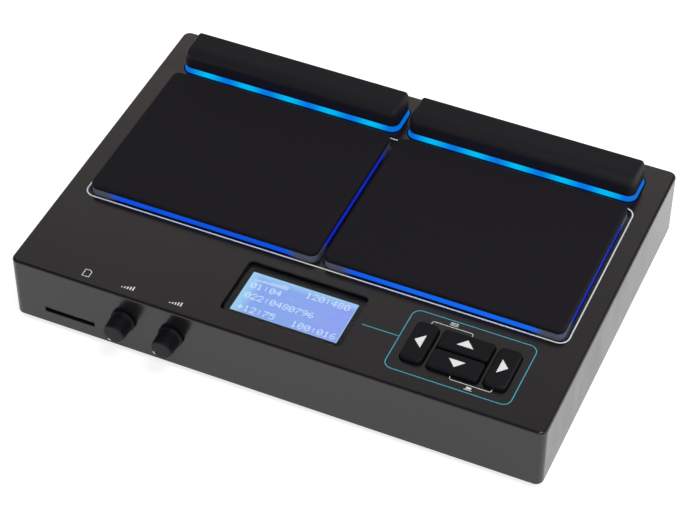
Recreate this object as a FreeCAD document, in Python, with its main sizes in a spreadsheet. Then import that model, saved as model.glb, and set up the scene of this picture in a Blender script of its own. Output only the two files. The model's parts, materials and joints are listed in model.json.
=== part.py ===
import FreeCAD, Part
import math
import os

import Sketcher
from FreeCAD import Placement, Rotation, Vector

# Sampling drum pad: two large strike pads, two raised bar pads, a display, four keys,
# two volume knobs on the front wall and the sockets on the back wall.
# Millimetres, +Z up, +X to the player's right, +Y to the back. The origin is on the table
# under the middle of the whole object, so the feet stand at z = 0.
# Distances called "front" or "behind" are measured back from the housing's front face,
# and heights called "high" or "rise" from the top panel's upper face.

SIZES = {
    # Housing, a deep moulded top cover closed below by a steel plate
    "body_width": 310.0,
    "body_depth": 213.7,
    "body_height": 40.3,
    "body_corner": 4.5,
    "top_edge_bevel": 0.9,
    "low_edge_bevel": 0.5,
    "wall": 2.5,
    "panel": 2.5,
    "foot_height": 3.2,
    "foot_radius": 8.0,
    "foot_inset_x": 22.0,
    "foot_inset_y": 20.0,
    "plate_thickness": 1.5,
    "plate_recess": 0.5,
    "plate_clearance": 0.4,
    # Screw columns in the corners of the housing
    "column_side": 8.0,
    "column_inset": 6.4,
    # Threaded holes for a stand clamp, in the steel plate
    "clamp_spacing_x": 75.0,
    "clamp_spacing_y": 75.0,
    "clamp_hole_radius": 2.1,
    # Strike pads: what the large pads and the bar pads share
    "pad_slot": 1.0,
    "pad_retain": 0.7,
    "pad_play": 0.1,
    "frame_flange": 1.4,
    "foam_height": 4.0,
    "foam_clearance": 0.1,
    "seat_clearance": 0.1,
    "tray_floor": 1.8,
    "tray_wall": 1.6,
    "tray_clearance": 0.5,
    "led_board": 1.0,
    "led_side": 4.0,
    "led_height": 1.4,
    "sensor_thickness": 0.6,
    "board_clearance": 1.2,
    "wire_slot_width": 14.0,
    "wire_slot_depth": 5.0,
    # Large pads
    "pad_gap": 4.0,
    "pad_side_margin": 14.5,
    "pad_front": 64.8,
    "pad_bar_gap": 8.5,
    "pad_corner": 4.5,
    "pad_band": 3.9,
    "pad_rubber": 2.8,
    "pad_rubber_round": 2.5,
    "pad_facets": 3.0,
    "pad_ring": 6.0,
    "pad_lip": 2.5,
    "pad_plate": 1.5,
    "pad_sensor": 32.0,
    "pad_board_width": 7.0,
    "pad_light_count": 3.0,
    # Bar pads
    "bar_gap": 6.4,
    "bar_side_margin": 15.3,
    "bar_depth": 21.8,
    "bar_back_margin": 12.0,
    "bar_corner": 5.0,
    "bar_band": 4.0,
    "bar_flare": 0.9,
    "bar_slot": 0.5,
    "bar_high": 14.8,
    "bar_round": 3.8,
    "bar_front_inset": 4.6,
    "bar_back_inset": 2.5,
    "bar_end_inset": 2.3,
    "bar_facets": 4.0,
    "bar_rubber": 3.0,
    "bar_ring": 4.0,
    "bar_seat": 1.5,
    "bar_sensor_width": 60.0,
    "bar_sensor_depth": 8.0,
    "bar_board_width": 5.0,
    "bar_led_pitch": 27.0,
    # Display
    "display_x": 0.2,
    "display_front": 33.0,
    "window_width": 70.7,
    "window_depth": 39.4,
    "window_corner": 3.0,
    "lens_margin": 1.4,
    "lens_rebate": 1.0,
    "lens_thickness": 1.5,
    "lens_clearance": 0.15,
    "view_width": 62.4,
    "view_depth": 30.7,
    "glass_thickness": 2.2,
    "bezel_face": 0.5,
    "bezel_wall": 1.0,
    "bezel_height": 5.0,
    "glass_margin": 5.0,
    "lcd_board_width": 78.0,
    "lcd_board_depth": 54.0,
    "board_thickness": 1.6,
    "post_side": 5.0,
    # Keys
    "keys_side_margin": 59.0,
    "keys_front": 18.2,
    "keys_depth": 28.3,
    "side_key_pitch": 23.35,
    "side_key_width": 12.7,
    "middle_key_width": 28.8,
    "key_split": 1.2,
    "key_slot": 0.4,
    "key_ear": 0.6,
    "key_rise": 3.0,
    "key_round": 1.3,
    "key_facets": 1.0,
    "side_key_corner": 3.2,
    "middle_key_corner": 1.8,
    "key_flange": 1.2,
    "key_plunger_side": 4.0,
    "key_plunger": 2.2,
    "key_travel": 0.5,
    "switch_side": 6.0,
    "switch_height": 3.5,
    "switch_stem_side": 3.0,
    "switch_stem": 0.8,
    "key_board_width": 68.0,
    "key_board_depth": 50.0,
    # Knobs and their potentiometers
    "knob_side_margin": 68.8,
    "knob_pitch": 28.7,
    "knob_high": 22.4,
    "knob_proud": 12.6,
    "knob_wall_gap": 0.8,
    "knob_radius": 6.3,
    "knob_collar_radius": 7.3,
    "knob_collar": 1.6,
    "knob_bore_depth": 8.4,
    "knob_fit": 0.04,
    "pointer_width": 1.1,
    "pointer_length": 2.4,
    "pointer_depth": 0.3,
    "shaft_radius": 3.0,
    "shaft_running_gap": 0.06,
    "shaft_hole_gap": 0.5,
    "pot_side": 11.0,
    "pot_depth": 7.0,
    "pot_board_height": 16.0,
    "pot_board_margin": 0.8,
    # Memory card socket behind the front wall
    "card_side_margin": 34.7,
    "card_high": 10.0,
    "card_slot_width": 30.6,
    "card_slot_height": 3.4,
    "card_socket_width": 29.0,
    "card_socket_depth": 30.0,
    "card_socket_shell": 0.5,
    "card_mouth_height": 2.4,
    "card_board_width": 42.0,
    "card_board_depth": 36.0,
    # Circuit boards on the steel plate
    "standoff_radius": 3.0,
    "main_board_width": 190.0,
    "main_board_depth": 96.0,
    "main_board_front": 66.0,
    "main_board_high": 12.0,
    "board_hole_inset": 5.0,
    "chip_height": 1.8,
    # Back wall: sockets on one long board
    "jack_board_side_margin": 15.0,
    "jack_board_depth": 27.0,
    "jack_board_high": 9.0,
    "rear_proud": 5.0,
    "jack_side": 16.0,
    "jack_tall": 14.0,
    "jack_depth": 24.0,
    "jack_nose_radius": 5.5,
    "jack_nose_proud": 1.2,
    "jack_bore_radius": 3.25,
    "jack_bore_depth": 26.5,
    "jack_hole_gap": 0.2,
    "jack_first_x": 22.0,
    "jack_pitch": 24.0,
    "outputs_x": -38.0,
    "phones_side_margin": 51.0,
    "power_side_margin": 25.0,
    "power_socket_side": 10.0,
    "power_socket_depth": 14.0,
    "power_face_radius": 4.6,
    "power_bore_radius": 2.9,
    "power_pin_radius": 1.0,
    "power_bore_depth": 10.0,
    "switch_pitch": 22.0,
    "switch_body_side": 8.5,
    "switch_body_depth": 14.0,
    "button_side": 8.0,
    "button_slot": 0.4,
    "button_travel": 2.0,
    "button_flange": 1.2,
    "button_stem_side": 3.0,
    "usb_pitch": 24.0,
    "usb_width": 12.0,
    "usb_height": 10.8,
    "usb_depth": 16.0,
    "usb_shell": 0.6,
    "usb_tongue_width": 5.6,
    "usb_tongue_height": 3.2,
    "usb_tongue_depth": 9.0,
    "midi_pitch": 28.0,
    "midi_side": 18.0,
    "midi_depth": 12.0,
    "midi_face_radius": 7.6,
    "midi_well": 7.0,
    "midi_well_radius": 6.6,
    "midi_pin_side": 1.4,
    "midi_pin_ring": 4.0,
}

document = FreeCAD.newDocument("sampling_drum_pad")
sheet = document.addObject("Spreadsheet::Sheet", "Sizes")
for row, (name, number) in enumerate(SIZES.items(), start=1):
    sheet.set(f"A{row}", name)
    sheet.set(f"B{row}", str(number))
    sheet.setAlias(f"B{row}", name)
document.recompute()

# Every piece that is written out, in the order in which it was made
PIECES = []
QUARTER_TURN = 1.5707963267948966


class Size:
    """A length: the value it has now, and the expression on the sheet that drives it."""

    def __init__(self, value, text):
        self.value = value
        self.text = text

    def __add__(self, other):
        other = sized(other)
        return Size(self.value + other.value, f"({self.text} + {other.text})")

    def __sub__(self, other):
        other = sized(other)
        return Size(self.value - other.value, f"({self.text} - {other.text})")

    def __mul__(self, factor):
        factor = sized(factor)
        return Size(self.value * factor.value, f"({self.text} * {factor.text})")

    def __truediv__(self, factor):
        factor = sized(factor)
        return Size(self.value / factor.value, f"({self.text} / {factor.text})")

    def __neg__(self):
        return Size(-self.value, f"(0 - {self.text})")

    def __radd__(self, other):
        return sized(other) + self

    def __rsub__(self, other):
        return sized(other) - self

    def __rmul__(self, other):
        return sized(other) * self


class SheetSizes:
    """The sheet's cells as Size values, by their aliases."""

    def __getattr__(self, alias):
        return Size(float(sheet.get(alias)), "Sizes." + alias)


def sized(number):
    return number if isinstance(number, Size) else Size(float(number), f"({number})")


S = SheetSizes()
CENTRE = sized(0)


# Helpers for objects


def bind(item, **sizes):
    """Drives properties of an object from the sheet."""
    for path, size in sizes.items():
        item.setExpression(path, sized(size).text)
    return item


def place(item, x=0, y=0, z=0, rotation=None):
    """Puts an object at a point driven from the sheet."""
    x, y, z = sized(x), sized(y), sized(z)
    item.Placement = Placement(Vector(x.value, y.value, z.value), rotation or Rotation())
    item.setExpression("Placement.Base.x", x.text)
    item.setExpression("Placement.Base.y", y.text)
    item.setExpression("Placement.Base.z", z.text)
    return item


def piece(item, label):
    """Names an object as one sub-part of the drum pad."""
    item.Label = label
    PIECES.append(item)
    return item


def box(x, y, z, wide, deep, tall):
    """A box by its low corner and its sides."""
    item = document.addObject("Part::Box", "Block")
    bind(item, Length=wide, Width=deep, Height=tall)
    return place(item, x, y, z)


def centred_box(x, y, z, wide, deep, tall):
    """A box standing at z, centred on x and y."""
    return box(x - wide / 2, y - deep / 2, z, wide, deep, tall)


ALONG = {
    "up": Rotation(),
    "back": Rotation(Vector(1, 0, 0), -90),
    "forward": Rotation(Vector(1, 0, 0), 90),
}


def cylinder(x, y, z, radius, length, along="up"):
    """A cylinder from the centre of its base, up, to the back or to the front."""
    item = document.addObject("Part::Cylinder", "Round")
    bind(item, Radius=radius, Height=length)
    return place(item, x, y, z, ALONG[along])


def hexagon(x, y, z, radius, length):
    """A six-sided post standing at z."""
    item = document.addObject("Part::Prism", "Hexagon")
    item.Polygon = 6
    bind(item, Circumradius=radius, Height=length)
    return place(item, x, y, z)


def fuse(*items):
    item = document.addObject("Part::MultiFuse", "Joined")
    item.Shapes = list(items)
    return item


def cut(base, *tools):
    """The base with every tool taken away."""
    item = base
    for tool in tools:
        pair = document.addObject("Part::Cut", "Cut")
        pair.Base = item
        pair.Tool = tool
        item = pair
    return item


def group(items):
    """Separate solids that share one node."""
    item = document.addObject("Part::Compound", "Set")
    item.Links = list(items)
    return item


# Helpers for bodies with sketches


def new_body(x=0, y=0, z=0, rotation=None):
    return place(document.addObject("PartDesign::Body", "Body"), x, y, z, rotation)


def sketch(body, plane="XY", x=0, y=0, z=0):
    """A sketch on one of the body's own origin planes, moved by x and y in it and z along its normal."""
    item = body.newObject("Sketcher::SketchObject", "Sketch")
    support = next(face for face in body.Origin.OriginFeatures if face.Role == plane + "_Plane")
    item.AttachmentSupport = [(support, "")]
    item.MapMode = "FlatFace"
    item.AttachmentOffset = Placement(Vector(sized(x).value, sized(y).value, sized(z).value), Rotation())
    item.setExpression("AttachmentOffset.Base.x", sized(x).text)
    item.setExpression("AttachmentOffset.Base.y", sized(y).text)
    item.setExpression("AttachmentOffset.Base.z", sized(z).text)
    return item


def dimension(item, kind, *arguments):
    """A sketch dimension whose last argument is a Size."""
    size = arguments[-1]
    index = item.addConstraint(Sketcher.Constraint(kind, *arguments[:-1], size.value))
    item.setExpression(f"Constraints[{index}]", size.text)


def point_at(item, shape, end, x, y):
    """Holds a point of the sketch at x, y from the sketch's origin."""
    for kind, axis, size in (("DistanceX", -2, sized(x)), ("DistanceY", -1, sized(y))):
        if abs(size.value) < 1e-9:
            item.addConstraint(Sketcher.Constraint("PointOnObject", shape, end, axis))
        elif size.value > 0:
            dimension(item, kind, -1, 1, shape, end, size)
        else:
            dimension(item, kind, shape, end, -1, 1, -size)


def circle(item, radius, x=0, y=0):
    centre = Vector(sized(x).value, sized(y).value, 0)
    index = item.addGeometry(Part.Circle(centre, Vector(0, 0, 1), sized(radius).value))
    dimension(item, "Radius", index, sized(radius))
    point_at(item, index, 3, x, y)
    return item


def rounded_rectangle(item, wide, deep, corner):
    """A rectangle with round corners, centred on the sketch's origin."""
    right, back, radius = wide.value / 2, deep.value / 2, corner.value
    inner_x, inner_y = right - radius, back - radius
    ends = [
        ((-inner_x, -back), (inner_x, -back)),
        ((right, -inner_y), (right, inner_y)),
        ((inner_x, back), (-inner_x, back)),
        ((-right, inner_y), (-right, -inner_y)),
    ]
    centres = [(inner_x, -inner_y), (inner_x, inner_y), (-inner_x, inner_y), (-inner_x, -inner_y)]
    lines = []
    arcs = []
    for start, end in ends:
        lines.append(item.addGeometry(Part.LineSegment(Vector(*start, 0), Vector(*end, 0))))
    for turn, centre in enumerate(centres):
        full = Part.Circle(Vector(*centre, 0), Vector(0, 0, 1), radius)
        begin = (turn - 1) * QUARTER_TURN
        arcs.append(item.addGeometry(Part.ArcOfCircle(full, begin, begin + QUARTER_TURN)))
    for turn in range(4):
        following = lines[(turn + 1) % 4]
        item.addConstraint(Sketcher.Constraint("Tangent", lines[turn], 2, arcs[turn], 1))
        item.addConstraint(Sketcher.Constraint("Tangent", arcs[turn], 2, following, 1))
        direction = "Horizontal" if turn % 2 == 0 else "Vertical"
        item.addConstraint(Sketcher.Constraint(direction, lines[turn]))
    for arc in arcs[1:]:
        item.addConstraint(Sketcher.Constraint("Equal", arcs[0], arc))
    item.addConstraint(Sketcher.Constraint("Symmetric", lines[0], 1, lines[2], 1, -1, 1))
    dimension(item, "DistanceX", lines[3], 1, lines[1], 1, wide)
    dimension(item, "DistanceY", lines[0], 1, lines[2], 1, deep)
    dimension(item, "Radius", arcs[0], corner)
    return item


def outline(item, points):
    """A closed outline of straight runs through points measured from the sketch's origin."""
    flat = [Vector(sized(x).value, sized(y).value, 0) for x, y in points]
    lines = []
    for start, end in zip(flat, flat[1:] + flat[:1]):
        lines.append(item.addGeometry(Part.LineSegment(start, end)))
    for index, (x, y) in enumerate(points):
        item.addConstraint(Sketcher.Constraint("Coincident", lines[index - 1], 2, lines[index], 1))
        point_at(item, lines[index], 1, x, y)
    return item


def rectangle(item, wide, deep, x=0, y=0):
    """A rectangle with sharp corners about a point."""
    left, right = sized(x) - wide / 2, sized(x) + wide / 2
    low, high = sized(y) - deep / 2, sized(y) + deep / 2
    return outline(item, [(left, low), (right, low), (right, high), (left, high)])


def pad(body, profile, length, name="Pad"):
    item = body.newObject("PartDesign::Pad", name)
    item.Profile = profile
    bind(item, Length=length)
    body.Tip = item
    return item


def pocket(body, profile, length, along_normal=False, name="Pocket"):
    """Cuts against the sketch's normal, or along it where asked."""
    item = body.newObject("PartDesign::Pocket", name)
    item.Profile = profile
    item.Reversed = along_normal
    bind(item, Length=length)
    body.Tip = item
    return item


def revolve(body, profile, name="Revolution"):
    """Turns a profile once round the sketch's upright axis."""
    item = body.newObject("PartDesign::Revolution", name)
    item.Profile = profile
    item.ReferenceAxis = (profile, ["V_Axis"])
    item.Angle = 360
    body.Tip = item
    return item


def bevel_edges(body, feature, size, level, name):
    """Bevels the edges of a feature that lie at one height."""
    document.recompute()
    edges = []
    for number, edge in enumerate(feature.Shape.Edges, start=1):
        bounds = edge.BoundBox
        if max(abs(bounds.ZMin - level.value), abs(bounds.ZMax - level.value)) < 1e-4:
            edges.append(f"Edge{number}")
    item = body.newObject("PartDesign::Chamfer", name)
    item.Base = (feature, edges)
    bind(item, Size=size)
    body.Tip = item
    return item


def soft_block(body, outline_sizes, height, ease, insets, facets):
    """A block whose top edge is rolled over: a straight part, and above it a loft through sections
    that step in along an arc. The insets are those of the front, the back and the two ends."""
    wide, deep, corner = outline_sizes
    front_inset, back_inset, end_inset = insets
    foot = sketch(body)
    rounded_rectangle(foot, wide, deep, corner)
    pad(body, foot, height - ease, "Sides")
    sections = []
    steps = int(facets.value)
    for step in range(steps + 1):
        turn = QUARTER_TURN * step / steps
        run = 1 - math.cos(turn)
        shift = (front_inset - back_inset) / 2 * run
        section = sketch(body, "XY", 0, shift, height - ease + ease * math.sin(turn))
        rounded_rectangle(
            section,
            wide - 2 * run * end_inset,
            deep - run * (front_inset + back_inset),
            corner - run * end_inset,
        )
        sections.append(section)
    item = body.newObject("PartDesign::AdditiveLoft", "RolledEdge")
    item.Profile = sections[0]
    item.Sections = sections[1:]
    item.Ruled = True
    body.Tip = item
    return item


def slope(run, rise):
    """The angle of a wall that moves sideways by a run over a rise."""
    angle = math.degrees(math.atan2(run.value, rise.value))
    return Size(angle, f"atan({run.text} / {rise.text})")


# Main planes of the object

front = S.knob_proud - (S.body_depth + S.knob_proud + S.rear_proud) / 2
middle = front + S.body_depth / 2
back = front + S.body_depth
half_width = S.body_width / 2
base = S.foot_height
top = base + S.body_height
under = top - S.panel
plate_low = base + S.plate_recess
plate_top = plate_low + S.plate_thickness
SIDES = (("left", -1), ("right", 1))


def behind(distance):
    """The y of a line that lies this far behind the front face."""
    return front + distance


# Strike pads: places that their pieces share

flange_low = under - S.pad_play - S.frame_flange
tray_low = flange_low - S.foam_height
pad_width = half_width - S.pad_side_margin - S.pad_gap / 2
bar_width = half_width - S.bar_side_margin - S.bar_gap / 2
bar_front = S.body_depth - S.bar_back_margin - S.bar_depth
pad_depth = bar_front - S.pad_bar_gap - S.pad_front
pad_x = (S.pad_gap + pad_width) / 2
pad_y = behind(S.pad_front + pad_depth / 2)
bar_x = (S.bar_gap + bar_width) / 2
bar_y = behind(bar_front + S.bar_depth / 2)
main_slot = S.pad_slot
bar_slot = S.bar_flare + S.bar_slot


def tray_margin(slot):
    """How far a tray reaches beyond its pads."""
    return slot + S.pad_retain + S.tray_clearance + S.tray_wall


# Display and keys: places that their pieces share

display_y = behind(S.display_front)
lens_width = S.window_width + 2 * S.lens_margin
lens_depth = S.window_depth + 2 * S.lens_margin
lens_top = under + S.lens_rebate
lens_low = lens_top - S.lens_thickness
bezel_low = lens_low - S.bezel_height
keys_x = half_width - S.keys_side_margin
keys_y = behind(S.keys_front + S.keys_depth / 2)
key_low = under - S.pad_play - S.key_flange
stem_top = key_low - S.key_plunger - S.key_travel - S.pad_play
key_board_top = stem_top - S.switch_stem - S.switch_height
middle_key_depth = (S.keys_depth - S.key_split) / 2

# Key name, distance right of the cluster's middle, distance behind it, width, depth and corner
KEYS = (
    ("key_left", -S.side_key_pitch, sized(0), S.side_key_width, S.keys_depth, S.side_key_corner),
    ("key_right", S.side_key_pitch, sized(0), S.side_key_width, S.keys_depth, S.side_key_corner),
    (
        "key_up",
        sized(0),
        (S.key_split + middle_key_depth) / 2,
        S.middle_key_width,
        middle_key_depth,
        S.middle_key_corner,
    ),
    (
        "key_down",
        sized(0),
        -(S.key_split + middle_key_depth) / 2,
        S.middle_key_width,
        middle_key_depth,
        S.middle_key_corner,
    ),
)


def board_corners(x, y, wide, deep, inset=CENTRE):
    """The four hole places of a board, or the four corners of any rectangle."""
    return [
        (x + across * (wide / 2 - inset), y + along * (deep / 2 - inset))
        for across in (-1, 1)
        for along in (-1, 1)
    ]


DISPLAY_POSTS = board_corners(
    S.display_x, display_y, S.lcd_board_width, S.lcd_board_depth, S.post_side / 2
)
KEY_POSTS = board_corners(keys_x, keys_y, S.key_board_width, S.key_board_depth, S.post_side / 2)

CLAMP_HOLES = board_corners(CENTRE, middle, S.clamp_spacing_x, S.clamp_spacing_y)

# Back wall: places that the sockets share

power_x = half_width - S.power_side_margin
switch_x = power_x - S.switch_pitch
usb_x = switch_x - S.usb_pitch
midi_x = usb_x - S.midi_pitch
phones_x = S.phones_side_margin - half_width
jack_board_top = base + S.jack_board_high + S.board_thickness
jack_z = jack_board_top + S.jack_tall / 2
power_z = jack_board_top + S.power_socket_side / 2
switch_z = jack_board_top + S.switch_body_side / 2
usb_z = jack_board_top + S.usb_height / 2
midi_z = jack_board_top + S.midi_side / 2
JACKS = (
    S.jack_first_x,
    S.jack_first_x - S.jack_pitch,
    S.outputs_x,
    S.outputs_x - S.jack_pitch,
    phones_x,
)
jack_board_width = S.body_width - 2 * S.jack_board_side_margin
inner_back = back - S.wall

# Front wall: the card slot and the knobs

card_x = S.card_side_margin - half_width
knob_x = S.knob_side_margin - half_width
KNOBS = (("main", knob_x), ("phones", knob_x + S.knob_pitch))
knob_z = base + S.knob_high

# Cover screws

COLUMNS = board_corners(CENTRE, middle, S.body_width, S.body_depth, S.column_inset)


# The moulded top cover: a deep shell with screw columns, board posts, pad and key apertures,
# a stepped display window, and the holes of the front and back walls


def aperture(body, x, y, wide, deep, corner, margin=0):
    """Opens the top panel round something of the given outline."""
    profile = sketch(body, "XY", x, y - middle, S.body_height)
    rounded_rectangle(profile, wide + 2 * margin, deep + 2 * margin, corner + margin)
    return pocket(body, profile, S.panel + S.lens_rebate, name="Aperture")


def wall_hole(body, wall_at, x, z, radius):
    """A round hole through the front (-1) or back (1) wall."""
    profile = sketch(body, "XZ", x, z - base, -wall_at * S.body_depth / 2)
    circle(profile, radius)
    return pocket(body, profile, S.wall + S.plate_recess, wall_at > 0, "WallHole")


def wall_slot(body, wall_at, x, z, wide, tall):
    """A rectangular hole through the front (-1) or back (1) wall."""
    profile = sketch(body, "XZ", x, z - base, -wall_at * S.body_depth / 2)
    rectangle(profile, wide, tall)
    return pocket(body, profile, S.wall + S.plate_recess, wall_at > 0, "WallSlot")


def top_cover():
    body = new_body(0, middle, base)
    block = sketch(body)
    rounded_rectangle(block, S.body_width, S.body_depth, S.body_corner)
    outer = pad(body, block, S.body_height, "Outside")
    bevelled = bevel_edges(body, outer, S.top_edge_bevel, S.body_height, "TopEdge")
    bevel_edges(body, bevelled, S.low_edge_bevel, CENTRE, "LowEdge")
    hollow = sketch(body)
    rounded_rectangle(
        hollow,
        S.body_width - 2 * S.wall,
        S.body_depth - 2 * S.wall,
        S.body_corner - S.wall,
    )
    pocket(body, hollow, S.body_height - S.panel, True, "Hollow")

    for places, level, side in (
        (COLUMNS, plate_top, S.column_side),
        (DISPLAY_POSTS, bezel_low, S.post_side),
        (KEY_POSTS, key_board_top, S.post_side),
    ):
        stalks = sketch(body, "XY", 0, 0, level - base)
        for x, y in places:
            rectangle(stalks, side, side, x, y - middle)
        pad(body, stalks, under - level, "Columns")

    for _, side in SIDES:
        aperture(body, side * pad_x, pad_y, pad_width, pad_depth, S.pad_corner, main_slot)
        aperture(body, side * bar_x, bar_y, bar_width, S.bar_depth, S.bar_corner, bar_slot)
        key_x = keys_x + side * S.side_key_pitch
        aperture(body, key_x, keys_y, S.side_key_width, S.keys_depth, S.side_key_corner, S.key_slot)
    aperture(body, keys_x, keys_y, S.middle_key_width, S.keys_depth, S.middle_key_corner, S.key_slot)
    aperture(body, S.display_x, display_y, S.window_width, S.window_depth, S.window_corner)
    rebate = sketch(body, "XY", S.display_x, display_y - middle, under - base)
    rectangle(rebate, lens_width + 2 * S.lens_clearance, lens_depth + 2 * S.lens_clearance)
    pocket(body, rebate, S.lens_rebate, True, "LensRebate")

    card_z = base + S.card_high
    wall_slot(body, -1, card_x, card_z, S.card_slot_width, S.card_slot_height)
    for _, x in KNOBS:
        wall_hole(body, -1, x, knob_z, S.shaft_radius + S.shaft_hole_gap)
    for x in JACKS:
        wall_hole(body, 1, x, jack_z, S.jack_nose_radius + S.jack_hole_gap)
    wall_hole(body, 1, power_x, power_z, S.power_face_radius + S.jack_hole_gap)
    wall_hole(body, 1, midi_x, midi_z, S.midi_face_radius + S.jack_hole_gap)
    usb_gap = 2 * S.jack_hole_gap
    wall_slot(body, 1, usb_x, usb_z, S.usb_width + usb_gap, S.usb_height + usb_gap)
    button_hole = S.button_side + 2 * S.button_slot
    wall_slot(body, 1, switch_x, switch_z, button_hole, button_hole)
    return piece(body, "top_cover")


def bottom_cover():
    """The steel plate that closes the housing, with four threaded holes for a stand's clamp."""
    body = new_body(0, middle, plate_low)
    margin = 2 * (S.wall + S.plate_clearance)
    blank = sketch(body)
    rounded_rectangle(blank, S.body_width - margin, S.body_depth - margin, S.body_corner - S.wall)
    pad(body, blank, S.plate_thickness, "Blank")
    holes = sketch(body)
    for x, y in CLAMP_HOLES:
        circle(holes, S.clamp_hole_radius, x, y - middle)
    pocket(body, holes, S.plate_thickness, True, "Holes")
    return piece(body, "bottom_cover")


def feet():
    """Four rubber feet on the steel plate."""
    wide = S.body_width - 2 * S.foot_inset_x
    deep = S.body_depth - 2 * S.foot_inset_y
    places = board_corners(CENTRE, middle, wide, deep)
    piece(group([cylinder(x, y, 0, S.foot_radius, plate_low) for x, y in places]), "rubber_feet")


def tray(label, centre_y, reach, depth, slot):
    """The tray under a pair of pads: a floor with a rim that meets the top panel."""
    outside_x = 2 * (reach + tray_margin(slot))
    outside_y = depth + 2 * tray_margin(slot)
    body = new_body(0, centre_y, tray_low - S.tray_floor)
    block = sketch(body)
    rectangle(block, outside_x, outside_y)
    pad(body, block, under - tray_low + S.tray_floor, "Block")
    well = sketch(body, "XY", 0, 0, S.tray_floor)
    rectangle(well, outside_x - 2 * S.tray_wall, outside_y - 2 * S.tray_wall)
    pocket(body, well, under - tray_low, True, "Well")
    for _, side in SIDES:
        passage = sketch(body, "XY", side * reach / 2)
        rectangle(passage, S.wire_slot_width, S.wire_slot_depth)
        pocket(body, passage, S.tray_floor, True, "WireSlot")
    return piece(body, label)


def light_frame(label, x, y, outline_sizes, band, slot, flare, ring, seat_lip, seat):
    """The clear frame round a pad: a flange below the panel, a neck that shows as the lit band and
    may widen downwards, and a seat for what carries the rubber."""
    wide, deep, corner = outline_sizes
    body = new_body(x, y, flange_low)
    flange = sketch(body)
    margin = slot + S.pad_retain
    rectangle(flange, wide + 2 * margin, deep + 2 * margin)
    pad(body, flange, S.frame_flange, "Flange")
    for name, low, high, widening in (
        ("Neck", flange_low, top, CENTRE),
        ("Band", top, top + band, flare),
    ):
        level = sketch(body, "XY", 0, 0, low - flange_low)
        rounded_rectangle(level, wide + 2 * flare, deep + 2 * flare, corner + flare)
        feature = pad(body, level, high - low, name)
        if widening.value:
            bind(feature, TaperAngle=slope(-widening, band))
    hole = sketch(body)
    rectangle(hole, wide - 2 * ring, deep - 2 * ring)
    pocket(body, hole, top + band - flange_low, True, "Opening")
    recess = sketch(body, "XY", 0, 0, top + band - flange_low)
    rectangle(recess, wide - 2 * seat_lip, deep - 2 * seat_lip)
    pocket(body, recess, seat, name="Seat")
    return piece(body, label)


def foam_ring(label, x, y, outline_sizes, slot, ring):
    """The foam gasket between the frame's flange and the tray."""
    wide, deep, _ = outline_sizes
    body = new_body(x, y, tray_low + S.foam_clearance)
    profile = sketch(body)
    rectangle(profile, wide + 2 * slot, deep + 2 * slot)
    rectangle(profile, wide - 2 * ring, deep - 2 * ring)
    pad(body, profile, S.foam_height - 2 * S.foam_clearance, "Foam")
    return piece(body, label)


def main_pad(name, side):
    x = side * pad_x
    band_top = top + S.pad_band
    sizes = (pad_width, pad_depth, S.pad_corner)
    label = "main_light_frame_" + name
    light_frame(label, x, pad_y, sizes, S.pad_band, main_slot, CENTRE, S.pad_ring, S.pad_lip, S.pad_plate)
    rubber = new_body(x, pad_y, band_top)
    ease = S.pad_rubber_round
    soft_block(rubber, sizes, S.pad_rubber, ease, (ease, ease, ease), S.pad_facets)
    piece(rubber, "main_pad_rubber_" + name)

    lip = 2 * (S.pad_lip + S.seat_clearance)
    plate_low_face = band_top - S.pad_plate
    plate = centred_box(x, pad_y, plate_low_face, pad_width - lip, pad_depth - lip, S.pad_plate)
    piece(plate, "main_pad_plate_" + name)

    sensor_low = plate_low_face - S.sensor_thickness
    sensor = centred_box(x, pad_y, sensor_low, S.pad_sensor, S.pad_sensor, S.sensor_thickness)
    piece(sensor, "main_pad_sensor_" + name)
    foam_ring("main_pad_foam_" + name, x, pad_y, sizes, main_slot, S.pad_ring)


def bar_pad(name, side):
    x = side * bar_x
    band_top = top + S.bar_band
    rise = S.bar_high - S.bar_band
    sizes = (bar_width, S.bar_depth, S.bar_corner)
    label = "bar_light_frame_" + name
    light_frame(
        label, x, bar_y, sizes, S.bar_band, bar_slot, S.bar_flare, S.bar_ring, S.bar_rubber, S.bar_seat
    )
    rubber = new_body(x, bar_y, band_top)
    insets = (S.bar_front_inset, S.bar_back_inset, S.bar_end_inset)
    soft_block(rubber, sizes, rise, S.bar_round, insets, S.bar_facets)
    hollow = sketch(rubber)
    inside_x = bar_width - 2 * S.bar_rubber
    inside_y = S.bar_depth - 2 * S.bar_rubber
    rectangle(hollow, inside_x, inside_y)
    pocket(rubber, hollow, rise - S.bar_rubber, True, "Hollow")
    piece(rubber, "bar_pad_rubber_" + name)

    core_low = band_top - S.bar_seat
    gap = 2 * S.seat_clearance
    core_height = rise - S.bar_rubber + S.bar_seat
    core = centred_box(x, bar_y, core_low, inside_x - gap, inside_y - gap, core_height)
    piece(core, "bar_core_" + name)

    sensor_low = core_low - S.sensor_thickness
    sensor = centred_box(
        x, bar_y, sensor_low, S.bar_sensor_width, S.bar_sensor_depth, S.sensor_thickness
    )
    piece(sensor, "bar_sensor_" + name)
    foam_ring("bar_foam_" + name, x, bar_y, sizes, bar_slot, S.bar_ring)


def spread(count, span):
    """Places of a row of things, evenly spaced about its middle."""
    return [(index - (count - 1) / 2) * (span / count) for index in range(count)]


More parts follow.
